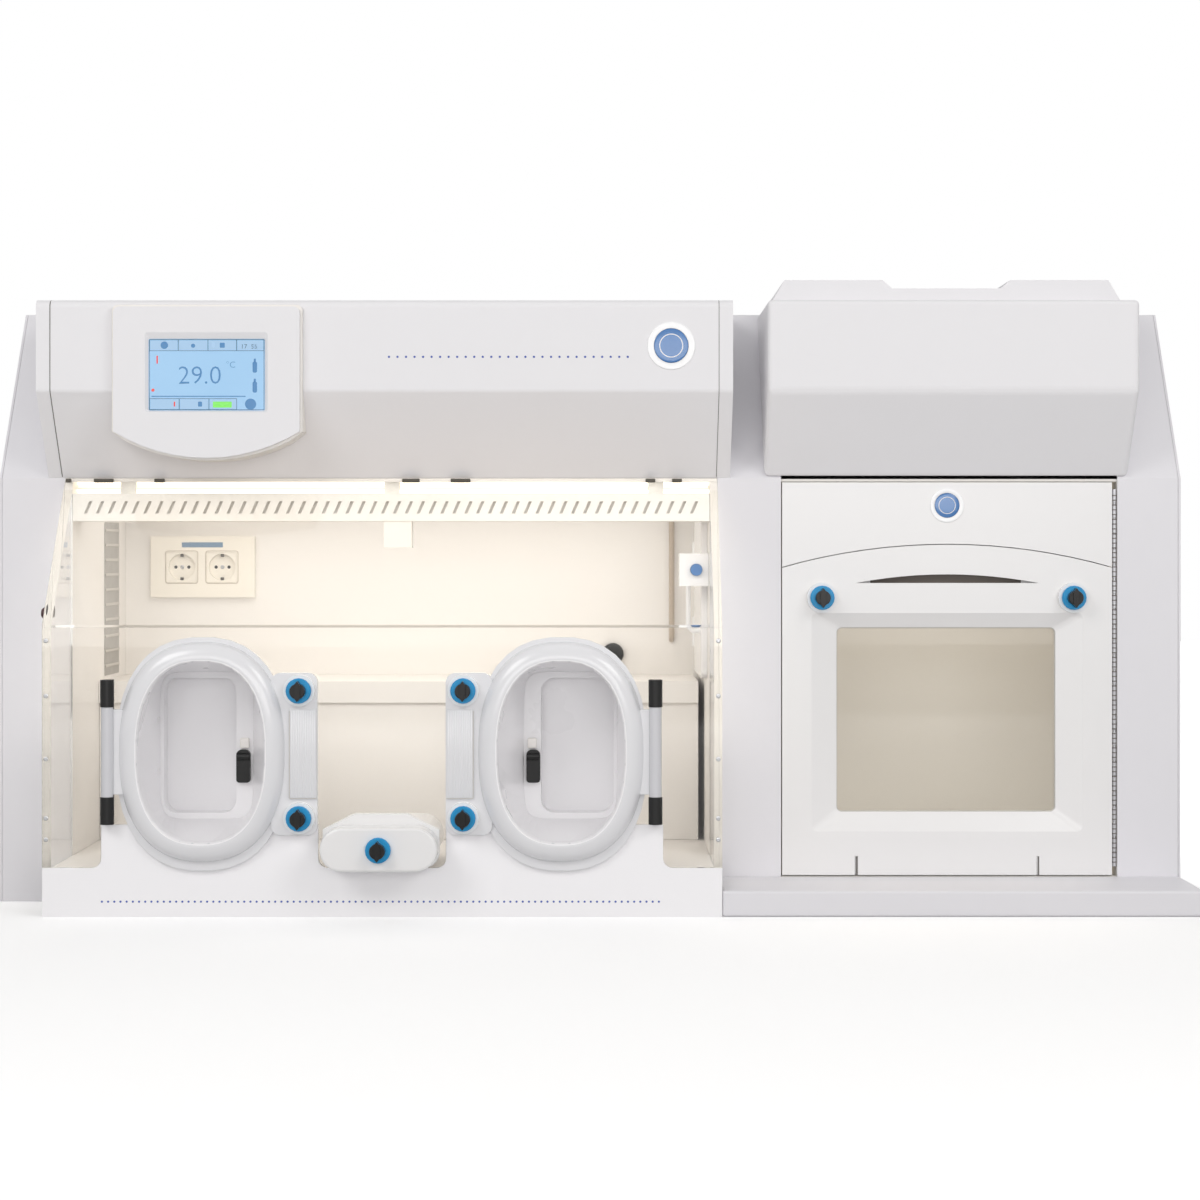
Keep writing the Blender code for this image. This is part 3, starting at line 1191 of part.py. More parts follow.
def display():
    """A bowed housing hung on the hood's front, with a bezel round the screen."""
    x = DISPLAY_X
    half = DISPLAY_WIDTH / 2
    hood_face = behind(HOOD_FRONT) - GAP
    front = hood_face - DISPLAY_REACH
    rise = DISPLAY_SIDE_Z - DISPLAY_ARC_Z
    radius = (half ** 2 + rise ** 2) / (2 * rise)

    def outline(grow):
        wide = half + grow
        top = DISPLAY_TOP_Z + grow
        start = math.asin(half / radius)
        bow = []
        for step in range(13):
            turn = -start + 2 * start * step / 12
            bow.append((x + wide / half * radius * math.sin(turn),
                        DISPLAY_ARC_Z - grow + radius * (1 - math.cos(turn))))
        upper = rounded([(x + wide, DISPLAY_SIDE_Z, 0), (x + wide, top, 0.008), (x - wide, top, 0.008),
                         (x - wide, DISPLAY_SIDE_Z, 0)])
        return bow[1:-1] + upper

    bezel_back = front + BEZEL
    bezel = flat_piece("display_bezel", [outline(0.0)], "front", front, bezel_back, "hood_white")
    housing = flat_piece("display_housing", [outline(0.003)], "front", bezel_back + GAP,
                         CABINET_FRONT + SHEET, "chamber_cream")
    foot, chin, brow, crown = hood_corners(GAP)
    away = Vector((0.2, 0.0))
    behind_hood = [foot, chin, brow, tuple(Vector(brow) + away), tuple(Vector(foot) + away)]
    cut(housing, flat_piece("display_back_cut", [behind_hood], "side", x - 2 * half, x + 2 * half))
    screen_low = SCREEN_TOP_Z - SCREEN_HEIGHT
    left, right = x - SCREEN_WIDTH / 2, x + SCREEN_WIDTH / 2
    rings = [rounded_box(left - SCREEN_SINK, right + SCREEN_SINK, screen_low - SCREEN_SINK / 2,
                         SCREEN_TOP_Z + 2 * SCREEN_SINK, 0.003),
             rounded_box(left, right, screen_low, SCREEN_TOP_Z, 0.002)]
    levels = [(rings[0], front - 0.002), (rings[0], front), (rings[1], front + SCREEN_SINK),
              (rings[1], bezel_back + 0.002)]
    cut(bezel, lofted("screen_recess", [[(u, y, v) for u, v in loop] for loop, y in levels], loop=False))
    lit = rounded_box(left + GAP, right - GAP, screen_low + GAP, SCREEN_TOP_Z - GAP, 0.002)
    flat_piece("display_screen", [lit], "front", front + SCREEN_SINK, bezel_back, "screen_blue")


def air_duct():
    """A slotted channel under the roof, with the tabs that hang it and a sensor block."""
    face = CABINET_FRONT
    left, right = INNER_LEFT, INNER_RIGHT
    low, high, skin = DUCT_BOTTOM_Z, DUCT_TOP_Z, DUCT_SHEET
    rear = face + DUCT_DEPTH
    channel = [(face, low), (rear, low), (rear, low + skin), (face + skin, low + skin),
               (face + skin, high - skin), (rear, high - skin), (rear, high), (face, high)]
    duct = flat_piece("air_duct", [channel], "side", left, right, "moulded_white")
    middle = (low + high) / 2
    count = int((right - left) / SLOT_PITCH) - 1
    start = (left + right) / 2 - (count - 1) * SLOT_PITCH / 2
    half, lean, rise = SLOT_WIDTH / 2, SLOT_LEAN / 2, SLOT_HEIGHT / 2
    slots = []
    for index in range(count):
        x = start + index * SLOT_PITCH
        slots.append([(x - lean - half, middle - rise), (x - lean + half, middle - rise),
                      (x + lean + half, middle + rise), (x + lean - half, middle + rise)])
    cut(duct, flat_piece("duct_slots", slots, "front", face - skin, face + 2 * skin))
    tab_front = face + 0.013
    for x in (CHAMBER_X - 0.350, CHAMBER_X, CHAMBER_X + 0.350):
        join(duct, box("duct_tab", (x - 0.010, tab_front, DUCT_TOP_Z - DUCT_SHEET / 2),
                       (x + 0.010, tab_front + 0.006, ROOF_Z - GAP)))
    join(duct, box("sensor_block", (CHAMBER_X - 0.010, face + DUCT_SHEET / 2, DUCT_BOTTOM_Z - 0.035),
                   (CHAMBER_X + 0.027, face + 0.030, DUCT_BOTTOM_Z + DUCT_SHEET / 2)))
    lamp_y = tab_front + 0.006 + LAMP_RADIUS + 0.007
    rod("lamp_tube", "x", ((left + right) / 2, lamp_y, ROOF_Z - LAMP_RADIUS - 0.0008), LAMP_RADIUS,
        right - left, "lamp_white", 16)


def fittings():
    wall_face = behind(CHAMBER_DEPTH) - GAP
    left = CHAMBER_LEFT + SOCKET_LEFT
    plate = box("socket_plate", (left, wall_face - SOCKET_THICK, SOCKET_BOTTOM_Z),
                (left + SOCKET_WIDTH, wall_face, SOCKET_BOTTOM_Z + SOCKET_HEIGHT), "moulded_white")
    first = left + 0.0456
    for index in range(2):
        x = first + index * SOCKET_PITCH
        cut(plate, rod("socket_well", "y", (x, wall_face - SOCKET_THICK, SOCKET_Z), SOCKET_WELL,
                       SOCKET_THICK * 1.5))
    stopper = [(0, 0.012), (PLUG_RADIUS * 0.8, 0.012), (PLUG_RADIUS, 0.009), (PLUG_RADIUS, 0.0), (0, 0.0)]
    turned("back_wall_plug", stopper, (PLUG_X, wall_face, PLUG_Z), "y", "black_plastic")
    conduit(wall_face)
    switch()


def conduit(wall_face):
    """A thin tube down the back wall from the roof, turning into the wall at its foot."""
    curve = bpy.data.curves.new("conduit", "CURVE")
    curve.dimensions = "3D"
    curve.bevel_depth = CONDUIT_RADIUS
    curve.bevel_resolution = 2
    curve.use_fill_caps = True
    y = wall_face - 2.5 * CONDUIT_RADIUS
    bend = 2 * CONDUIT_RADIUS
    points = [(y, ROOF_Z - GAP), (y, CONDUIT_LOW_Z + bend)]
    for step in (1, 2, 3):
        turn = math.radians(30 * step)
        points.append((y + bend * (1 - math.cos(turn)), CONDUIT_LOW_Z + bend * (1 - math.sin(turn))))
    points.append((wall_face, CONDUIT_LOW_Z))
    spline = curve.splines.new("POLY")
    spline.points.add(len(points) - 1)
    for point, (u, v) in zip(spline.points, points):
        point.co = (CONDUIT_X, u, v, 1.0)
    solid_from_curve("conduit", curve, "conduit_brown")


def switch():
    """A small box on the right wall with a sprung button on its front."""
    front = behind(SWITCH_FRONT)
    right = INNER_RIGHT
    middle = (right - SWITCH_WIDTH / 2 + 0.003, front, SWITCH_BOTTOM_Z + SWITCH_HEIGHT / 2)
    case = box("switch_box", (right - SWITCH_WIDTH, front, SWITCH_BOTTOM_Z),
               (right, front + SWITCH_DEPTH, SWITCH_BOTTOM_Z + SWITCH_HEIGHT), "moulded_white")
    well = 0.012
    cut(case, rod("button_well", "y", middle, BUTTON_RADIUS + BUTTON_ROOM, 2 * well))
    length = BUTTON_STAND + well - BUTTON_TRAVEL - 0.001
    start = front - BUTTON_STAND
    button = rod("switch_button", "y", (middle[0], start + length / 2, middle[2]), BUTTON_RADIUS, length,
                 "knob_blue")
    press = pivot("switch_button_press", middle)
    carry(press, button)


def main():
    clear_scene()
    cabinet()
    chamber_shell()
    chamber_bench()
    windows()
    for side in (-1, 1):
        port(side)
    plate_entry()
    airlock()
    inner_airlock_door()
    left_hood()
    right_hood()
    display()
    air_duct()
    fittings()


main()
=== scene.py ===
"""Dresses an anaerobic chamber: finishes, small fittings, floor, light and camera.

Metres, +Z up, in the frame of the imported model: the clear front faces -Y.
"""

from __future__ import annotations

import json
import logging
import math
from dataclasses import dataclass
from enum import Enum
from typing import Sequence

import bpy
import numpy as np
from mathutils import Matrix

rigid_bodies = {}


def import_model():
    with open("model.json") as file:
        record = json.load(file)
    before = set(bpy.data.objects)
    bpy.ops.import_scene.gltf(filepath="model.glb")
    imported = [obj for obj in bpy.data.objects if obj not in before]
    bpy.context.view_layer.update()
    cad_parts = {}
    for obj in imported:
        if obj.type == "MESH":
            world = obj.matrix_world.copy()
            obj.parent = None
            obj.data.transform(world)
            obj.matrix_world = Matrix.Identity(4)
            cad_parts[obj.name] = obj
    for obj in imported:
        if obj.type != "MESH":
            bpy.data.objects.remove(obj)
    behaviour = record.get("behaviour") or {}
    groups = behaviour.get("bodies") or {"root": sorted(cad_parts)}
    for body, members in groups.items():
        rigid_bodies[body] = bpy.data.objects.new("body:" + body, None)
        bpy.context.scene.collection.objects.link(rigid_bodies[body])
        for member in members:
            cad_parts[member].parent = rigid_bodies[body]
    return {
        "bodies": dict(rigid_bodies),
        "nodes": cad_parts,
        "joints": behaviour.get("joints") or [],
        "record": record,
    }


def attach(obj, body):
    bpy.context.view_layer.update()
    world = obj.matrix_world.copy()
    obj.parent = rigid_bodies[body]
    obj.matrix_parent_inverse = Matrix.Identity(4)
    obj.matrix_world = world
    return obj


LOG = logging.getLogger("anaerobic_chamber")
Tree = bpy.types.NodeTree
Socket = bpy.types.NodeSocket
Pair = tuple[float, float]
Colour = tuple[float, float, float]
Place = tuple[float, float, float]
WHITE = (1.0, 1.0, 1.0, 1.0)

FRONT = -0.380           # the clear front's plane, in world Y like the faces below
CABINET_FRONT = -0.243
HOOD_FACE = -0.318
SCREEN_FACE = -0.3273
AIRLOCK_FACE = -0.2425
CHAMBER_X = -0.263       # the chamber's middle
PRINT = 0.00012          # a printed mark's thickness


class Plane(Enum):
    """Which two axes an outline is drawn on; the third is its depth."""

    FRONT = (0, 2, 1)
    SIDE = (1, 2, 0)
    TOP = (0, 1, 2)


@dataclass(frozen=True)
class Skin:
    """A closed surface: corner points, four-sided faces and end caps."""

    points: np.ndarray
    quads: np.ndarray
    caps: tuple[np.ndarray, ...] = ()

    def volume(self) -> float:
        """Returns six times the enclosed volume, negative where faces point inwards."""
        fans = [self.quads[:, [0, 1, 2]], self.quads[:, [0, 2, 3]]]
        for cap in self.caps:
            fans.append(np.stack([np.full(len(cap) - 2, cap[0]), cap[1:-1], cap[2:]], 1))
        a, b, c = self.points[np.concatenate(fans)].transpose(1, 0, 2)
        return float(np.einsum("ij,ij->i", a, np.cross(b, c)).sum())

    def outward(self) -> Skin:
        """Returns the surface with its faces pointing out."""
        if self.volume() >= 0:
            return self
        return Skin(self.points, self.quads[:, ::-1], tuple(cap[::-1] for cap in self.caps))

    def repeated(self, offsets: np.ndarray) -> Skin:
        """Copies the surface.

        Args:
            offsets: one (x, y, z) move for each copy.

        Returns:
            All copies as one surface: every point plus every offset.
        """
        count, size = len(offsets), len(self.points)
        points = (self.points[None] + offsets[:, None]).reshape(-1, 3)
        steps = np.arange(count) * size
        quads = (self.quads[None] + steps[:, None, None]).reshape(-1, 4)
        caps = tuple(cap + step for step in steps for cap in self.caps)
        return Skin(points, quads, caps)


def placed(plane: Plane, u: np.ndarray, v: np.ndarray, depth: np.ndarray | float) -> np.ndarray:
    """Turns outline positions and a depth into world points."""
    points = np.empty((*np.shape(u), 3))
    for axis, values in zip(plane.value, (u, v, depth)):
        points[..., axis] = values
    return points


def grid(points: np.ndarray, loop: bool = False) -> Skin:
    """Joins rows of points, each row a ring, into a closed surface.

    Args:
        points: rows x columns x 3.
        loop: True where the last row meets the first, as on a hoop.

    Returns:
        The surface, with a cap on each end row unless it loops.
    """
    rows, columns = points.shape[:2]
    i = np.arange(rows if loop else rows - 1)[:, None]
    j = np.arange(columns)[None, :]
    k, m = (i + 1) % rows, (j + 1) % columns
    quads = np.stack([i * columns + j, i * columns + m, k * columns + m, k * columns + j], -1)
    ring = np.arange(columns)
    caps = () if loop else (ring[::-1], ring + (rows - 1) * columns)
    return Skin(points.reshape(-1, 3), quads.reshape(-1, 4), caps).outward()


def grown(outline: np.ndarray, distance: float) -> np.ndarray:
    """Moves an outline's points outwards along the mean of their two edges' normals."""
    before = outline - np.roll(outline, 1, 0)
    after = np.roll(outline, -1, 0) - outline
    normals = np.stack([before[:, 1] / np.hypot(*before.T) + after[:, 1] / np.hypot(*after.T),
                        -before[:, 0] / np.hypot(*before.T) - after[:, 0] / np.hypot(*after.T)], 1)
    normals /= np.maximum(np.hypot(*normals.T)[:, None], 1e-9)
    (x, z), (next_x, next_z) = outline.T, np.roll(outline, -1, 0).T
    area = np.sum(x * next_z - next_x * z)
    return outline + normals * distance * (1 if area > 0 else -1)


def slab(outline: np.ndarray, low: float, high: float, edge: float = 0.0,
         plane: Plane = Plane.FRONT) -> Skin:
    """A flat body with rounded edges.

    The outline shrinks by edge * (1 - sin t) while the depth runs edge * (1 - cos t)
    in from each face, for t from 0 to a right angle.

    Args:
        outline: n x 2 points.
        low: depth of one face.
        high: depth of the other.
        edge: the rounding.
        plane: where the outline lies.

    Returns:
        The closed body.
    """
    if edge <= 0:
        shrink, depth = np.zeros(2), np.array([low, high])
    else:
        t = np.linspace(0, math.pi / 2, 4)
        shrink = np.concatenate([edge * (1 - np.sin(t)), edge * (1 - np.cos(t))])
        depth = np.concatenate([low + edge * (1 - np.cos(t)), high - edge * (1 - np.sin(t))])
    rows = [placed(plane, *grown(outline, -s).T, d) for s, d in zip(shrink, depth)]
    return grid(np.stack(rows))


def hoop(outline: np.ndarray, section: Sequence[Pair]) -> Skin:
    """Carries a closed section of (outward, depth) points round an outline that faces -Y."""
    rows = [placed(Plane.FRONT, *grown(outline, out).T, depth) for out, depth in section]
    return grid(np.stack(rows), loop=True)


def turned(profile: Sequence[Pair], centre: Place, steps: int = 24,
           plane: Plane = Plane.FRONT) -> Skin:
    """Turns a profile of (radius, height) about an axis: centre + r(cos a, sin a) + height."""
    radius, height = np.array(profile, float).T
    angle = np.arange(steps) * 2 * math.pi / steps
    rings = placed(plane, radius[:, None] * np.cos(angle), radius[:, None] * np.sin(angle),
                   np.repeat(height[:, None], steps, 1))
    return grid(rings + np.array(centre, float))


def oval(half_width: float, half_height: float, power: float, u: float, v: float,
         count: int = 72) -> np.ndarray:
    """Points round |x/a|^n + |y/b|^n = 1."""
    t = (np.arange(count) + 0.5) * 2 * math.pi / count
    c, s = np.cos(t), np.sin(t)
    return np.stack([u + half_width * np.sign(c) * np.abs(c) ** (2 / power),
                     v + half_height * np.sign(s) * np.abs(s) ** (2 / power)], 1)


def rounded_box(left: float, right: float, low: float, high: float, radius: float,
                steps: int = 5) -> np.ndarray:
    """A box outline whose corners are quarter circles."""
    t = np.linspace(0, math.pi / 2, steps + 1)
    corners = [(right - radius, high - radius, 0), (left + radius, high - radius, 1),
               (left + radius, low + radius, 2), (right - radius, low + radius, 3)]
    return np.concatenate([np.stack([u + radius * np.cos(t + q * math.pi / 2),
                                     v + radius * np.sin(t + q * math.pi / 2)], 1)
                           for u, v, q in corners])


def moves(axis: int, pitch: float, count: int) -> np.ndarray:
    """Moves of 0, 1, 2 and more times a pitch along one axis."""
    offsets = np.zeros((count, 3))
    offsets[:, axis] = np.arange(count) * pitch
    return offsets


def feed(tree: Tree, target: bpy.types.Node, inputs: dict) -> bpy.types.Node:
    """Sets a node's inputs and returns it.

    Args:
        tree: where the node is.
        target: the node.
        inputs: by a socket's name or number, its value or the socket that feeds it.
    """
    for key, value in inputs.items():
        if isinstance(value, Socket):
            tree.links.new(value, target.inputs[key])
        else:
            target.inputs[key].default_value = value
    return target


def node(tree: Tree, kind: str, inputs: dict | None = None, **settings) -> bpy.types.Node:
    """Adds a shader node and returns it.

    Args:
        tree: where it goes.
        kind: its type, without ShaderNode.
        inputs: see feed.
        settings: values for its own properties, set before the inputs.
    """
    made = tree.nodes.new(f"ShaderNode{kind}")
    for key, value in settings.items():
        setattr(made, key, value)
    return feed(tree, made, inputs or {})


def mixed(tree: Tree, factor: Socket, first: Socket, second: Socket,
          output: bpy.types.Node) -> None:
    """Shows one shader where factor is 0 and another where it is 1."""
    mix = node(tree, "MixShader", {0: factor, 1: first, 2: second})
    feed(tree, output, {"Surface": mix.outputs[0]})


class Groups:
    """Node groups that several finishes share."""

    @staticmethod
    def _new(name: str, inputs: dict[str, str], outputs: dict[str, str]):
        """An empty group with its sockets, or the one already made.

        Args:
            name: the group's name.
            inputs: each socket's name and its type, without NodeSocket.
            outputs: the same for its outputs.

        Returns:
            The group, its input node and its output node, the last two None if it existed.
        """
        if name in bpy.data.node_groups:
            return bpy.data.node_groups[name], None, None
        group = bpy.data.node_groups.new(name, "ShaderNodeTree")
        for way, sockets in (("INPUT", inputs), ("OUTPUT", outputs)):
            for word, kind in sockets.items():
                group.interface.new_socket(word, in_out=way, socket_type=f"NodeSocket{kind}")
        return group, group.nodes.new("NodeGroupInput"), group.nodes.new("NodeGroupOutput")

    @classmethod
    def tone(cls) -> Tree:
        """A broad noise shifts a colour a little towards a shade."""
        group, start, end = cls._new(
            "surface_tone", {"Vector": "Vector", "Colour": "Color", "Shade": "Color",
                             "Scale": "Float", "Amount": "Float"}, {"Colour": "Color"})
        if start is None:
            return group
        given = start.outputs
        noise = node(group, "TexNoise", {"Vector": given["Vector"], "Scale": given["Scale"],
                                         "Detail": 5.0})
        level = node(group, "Math", {0: noise.outputs["Fac"], 1: given["Amount"]},
                     operation="MULTIPLY")
        mix = node(group, "Mix", {"Factor": level.outputs[0], "A": given["Colour"],
                                  "B": given["Shade"]}, data_type="RGBA")
        feed(group, end, {"Colour": mix.outputs["Result"]})
        return group

    @classmethod
    def grain(cls) -> Tree:
        """Fine noise for a coat's or moulding's skin, with a height and a roughness."""
        group, start, end = cls._new(
            "fine_grain", {"Vector": "Vector", "Scale": "Float", "Smooth": "Float",
                           "Rough": "Float"}, {"Height": "Float", "Roughness": "Float"})
        if start is None:
            return group
        given = start.outputs
        fine = node(group, "TexNoise", {"Vector": given["Vector"], "Scale": given["Scale"],
                                        "Detail": 3.0})
        broad = node(group, "TexNoise", {"Vector": given["Vector"], "Scale": 9.0, "Detail": 4.0})
        spread = node(group, "MapRange", {
            "Value": broad.outputs["Fac"], "From Min": 0.3, "From Max": 0.7,
            "To Min": given["Smooth"], "To Max": given["Rough"]})
        feed(group, end, {"Height": fine.outputs["Fac"], "Roughness": spread.outputs["Result"]})
        return group


@dataclass(frozen=True)
class Surface:
    """A named material, whose nodes are laid on its first use."""

    name: str

    def material(self) -> bpy.types.Material:
        """Returns the material."""
        made = bpy.data.materials.get(self.name)
        if made is None:
            made = bpy.data.materials.new(self.name)
            made.use_nodes = True
            self.lay(made.node_tree)
        return made

    def lay(self, tree: Tree) -> None:
        """Lays the nodes in a new material's tree."""
        raise NotImplementedError


@dataclass(frozen=True)
class Finish(Surface):
    """A coated, moulded or metal surface.

    Its colour drifts towards shade, its skin has a fine grain, its roughness wanders
    between two values, and its edges catch light over a small rounding.
    """

    colour: Colour
    shade: Colour
    smooth: float = 0.35
    rough: float = 0.45
    metallic: float = 0.0
    drift: float = 0.35
    drift_scale: float = 3.5
    grain_scale: float = 900.0
    grain_height: float = 0.00003
    edge: float = 0.0008
    glow: float = 0.0
    coat: float = 0.0
    specular: float = 0.5

    def lay(self, tree: Tree) -> None:
        """Lays the nodes. See Surface.lay."""
        place = node(tree, "TexCoord").outputs["Object"]
        tone = node(tree, "Group", {
            "Vector": place, "Colour": (*self.colour, 1.0), "Shade": (*self.shade, 1.0),
            "Scale": self.drift_scale, "Amount": self.drift}, node_tree=Groups.tone())
        grain = node(tree, "Group", {
            "Vector": place, "Scale": self.grain_scale, "Smooth": self.smooth,
            "Rough": self.rough}, node_tree=Groups.grain())
        bump = node(tree, "Bump", {"Strength": 0.5, "Distance": self.grain_height,
                                   "Height": grain.outputs["Height"]})
        if self.edge > 0:
            rounding = node(tree, "Bevel", {"Radius": self.edge}, samples=4)
            feed(tree, bump, {"Normal": rounding.outputs["Normal"]})
        shader = feed(tree, tree.nodes["Principled BSDF"], {
            "Roughness": grain.outputs["Roughness"], "Normal": bump.outputs["Normal"],
            "Metallic": self.metallic, "Specular IOR Level": self.specular,
            "Coat Weight": self.coat, "Coat Roughness": 0.08})
        if self.glow > 0:
            feed(tree, shader, {"Emission Color": (*self.colour, 1.0),
                                "Emission Strength": self.glow})
        feed(tree, shader, {"Base Color": self.painted(tree, place, tone.outputs["Colour"])})

    def painted(self, tree: Tree, place: Socket, colour: Socket) -> Socket:
        """A finish with parts of other colours changes its colour here.

        Args:
            tree: the material's tree.
            place: the object position.
            colour: the colour so far.

        Returns:
            The colour to use.
        """
        return colour


def blended(tree: Tree, factor: Socket, base: Socket, colour: Colour) -> Socket:
    """Mixes a plain colour over another where factor is 1."""
    return node(tree, "Mix", {"Factor": factor, "A": base, "B": (*colour, 1.0)},
                data_type="RGBA").outputs["Result"]


def within(tree: Tree, place: Socket, centre: Place, keep: Place, reach: float) -> Socket:
    """A mask of 1 nearer than reach to a centre.

    Args:
        tree: the material's tree.
        place: the object position.
        centre: a world point.
        keep: 1 for an axis that counts and 0 for one that doesn't.
        reach: the distance in metres.

    Returns:
        The mask's socket.
    """
    away = node(tree, "VectorMath", {0: place, 1: centre}, operation="SUBTRACT")
    only = node(tree, "VectorMath", {0: away.outputs[0], 1: keep}, operation="MULTIPLY")
    size = node(tree, "VectorMath", {0: only.outputs[0]}, operation="LENGTH")
    return node(tree, "Math", {0: size.outputs["Value"], 1: reach},
                operation="LESS_THAN").outputs[0]


@dataclass(frozen=True)
class KnobFinish(Finish):
    """A blue ring with everything in front of it black."""

    ring_front: float = 0.0
    core: Colour = (0.006, 0.006, 0.006)

    def painted(self, tree: Tree, place: Socket, colour: Socket) -> Socket:
        """Black ahead of the ring's face. See Finish.painted."""
        split = node(tree, "SeparateXYZ", {0: place})
        test = node(tree, "Math", {0: split.outputs["Y"], 1: self.ring_front - 0.0002},
                    operation="LESS_THAN")
        return blended(tree, test.outputs[0], colour, self.core)


@dataclass(frozen=True)
class FlangeFinish(Finish):
    """A milky flange whose hinge barrel is grey metal and whose knob collars are white."""

    barrel: Place = (0.0, 0.0, 0.0)
    collars: tuple[Place, ...] = ()
    barrel_reach: float = 0.0082
    collar_reach: float = 0.0203
    barrel_colour: Colour = (0.66, 0.66, 0.69)
    collar_colour: Colour = (0.90, 0.90, 0.90)

    def painted(self, tree: Tree, place: Socket, colour: Socket) -> Socket:
        """Colours the barrel and collars. See Finish.painted."""
        for centre in self.collars:
            mask = within(tree, place, centre, (1, 0, 1), self.collar_reach)
            colour = blended(tree, mask, colour, self.collar_colour)
        mask = within(tree, place, self.barrel, (1, 1, 0), self.barrel_reach)
        return blended(tree, mask, colour, self.barrel_colour)


@dataclass(frozen=True)
class ClearFinish(Surface):
    """Clear sheet that lets lamps through, with faint smears on it."""

    tint: Colour
    roughness: float = 0.02
    refraction: float = 1.49
    smear_scale: float = 260.0

    def lay(self, tree: Tree) -> None:
        """Lays the nodes. See Surface.lay."""
        grain = node(tree, "Group", {"Vector": node(tree, "TexCoord").outputs["Object"],
                                     "Scale": self.smear_scale, "Smooth": 0.0,
                                     "Rough": 2 * self.roughness}, node_tree=Groups.grain())
        shader = feed(tree, tree.nodes["Principled BSDF"], {
            "Base Color": (*self.tint, 1.0), "Transmission Weight": 1.0, "IOR": self.refraction,
            "Roughness": grain.outputs["Roughness"]})
        clear = node(tree, "BsdfTransparent", {"Color": (*self.tint, 1.0)})
        mixed(tree, node(tree, "LightPath").outputs["Is Shadow Ray"], shader.outputs[0],
              clear.outputs[0], tree.nodes["Material Output"])


@dataclass(frozen=True)
class ScreenFinish(Finish):
    """A screen lit by its own colour."""

    brightness: float = 0.35

    def painted(self, tree: Tree, place: Socket, colour: Socket) -> Socket:
        """Feeds the colour to the emission as well. See Finish.painted."""
        feed(tree, tree.nodes["Principled BSDF"],
             {"Emission Color": colour, "Emission Strength": self.brightness})
        return colour


POWDER = Finish("powder_white", (0.80, 0.79, 0.82), (0.75, 0.74, 0.78), 0.44, 0.48,
                grain_scale=1500, grain_height=0.00006, edge=0.0012)
HOOD = Finish("hood_white", (0.82, 0.81, 0.83), (0.78, 0.77, 0.80), 0.38, 0.42,
              grain_scale=1100, edge=0.0012)
MOULDED = Finish("moulded_white", (0.86, 0.85, 0.85), (0.82, 0.81, 0.82), 0.26, 0.36, coat=0.15)
CREAM = Finish("lining_cream", (0.88, 0.85, 0.815), (0.85, 0.815, 0.775), edge=0.001)
LINER = Finish("airlock_lining", (0.81, 0.79, 0.75), (0.76, 0.735, 0.69), edge=0.001)
DUCT = Finish("duct_white", (0.88, 0.86, 0.82), (0.85, 0.83, 0.78), 0.40, 0.5)
# grey: painted shade seen through the duct's slots; also the wall grille ribs' own colour
DUCT_SHADE_AND_RIB_GREY = Finish("duct_shade_and_rib_grey", (0.60, 0.57, 0.53), (0.54, 0.51, 0.47), 0.50, 0.6)
GRILLE = Finish("grille_grey", (0.34, 0.32, 0.30), (0.50, 0.48, 0.45), 0.50, 0.6, drift=1.0,
                drift_scale=60)
# pods and port doors: the moulded white, lightened as painted light for their shaded recesses
POD_WHITE_PAINTED_LIGHT = Finish("pod_white_painted_light", (0.93, 0.92, 0.935), (0.91, 0.90, 0.915), 0.26, 0.36, coat=0.15)
# front base panel: the powder coat, lightened as painted light for its dim place by the floor
PANEL_WHITE_PAINTED_LIGHT = Finish("panel_white_painted_light", (0.96, 0.95, 0.97), (0.95, 0.94, 0.96), 0.38, 0.44)
SOCKET = Finish("socket_cream", (0.90, 0.85, 0.76), (0.87, 0.82, 0.73), 0.30, 0.40)
CLEAR = ClearFinish("clear_sheet", (0.995, 0.99, 0.975))
BLACK = Finish("black_moulding", (0.012, 0.012, 0.012), (0.02, 0.02, 0.02), 0.32, 0.45, drift=0.5,
               specular=0.3)
STEEL = Finish("steel", (0.60, 0.60, 0.62), (0.50, 0.50, 0.53), 0.25, 0.38, metallic=1.0,
               grain_scale=600)
HINGE = Finish("hinge_steel", (0.55, 0.55, 0.57), (0.46, 0.46, 0.48), 0.30, 0.42, metallic=0.6)
LAMP = Finish("opal_lamp", (1.0, 0.93, 0.80), (0.97, 0.90, 0.76), 0.30, 0.35, glow=1.3)
TUBING = Finish("brown_tubing", (0.50, 0.41, 0.32), (0.42, 0.34, 0.26), 0.40, 0.50)
CLIP = Finish("clip_dark", (0.07, 0.06, 0.045), (0.05, 0.04, 0.03), 0.45, 0.55)
BADGE_BLUE = Finish("badge_blue", (0.06, 0.20, 0.48), (0.045, 0.16, 0.42), 0.18, 0.26, coat=0.6,
                    drift=0.8, drift_scale=60)
BADGE_RIM = Finish("badge_rim", (0.93, 0.93, 0.94), (0.89, 0.89, 0.91), 0.22, 0.30, coat=0.4)
NAVY = Finish("print_navy", (0.07, 0.12, 0.42), (0.05, 0.09, 0.34), 0.40, 0.50, edge=0)
STRIP = Finish("label_strip", (0.18, 0.28, 0.40), (0.14, 0.24, 0.36), 0.40, 0.50)
SLOT_SHADE = Finish("slot_shade", (0.14, 0.12, 0.105), (0.11, 0.095, 0.08), 0.60, 0.75)
# dark grey: the airlock front's rubber seal, and painted shade in seams, slits and hinge gaps
SEAL_AND_GAP_SHADE = Finish("seal_and_gap_shade_grey", (0.20, 0.19, 0.18), (0.14, 0.13, 0.13), 0.60, 0.75)
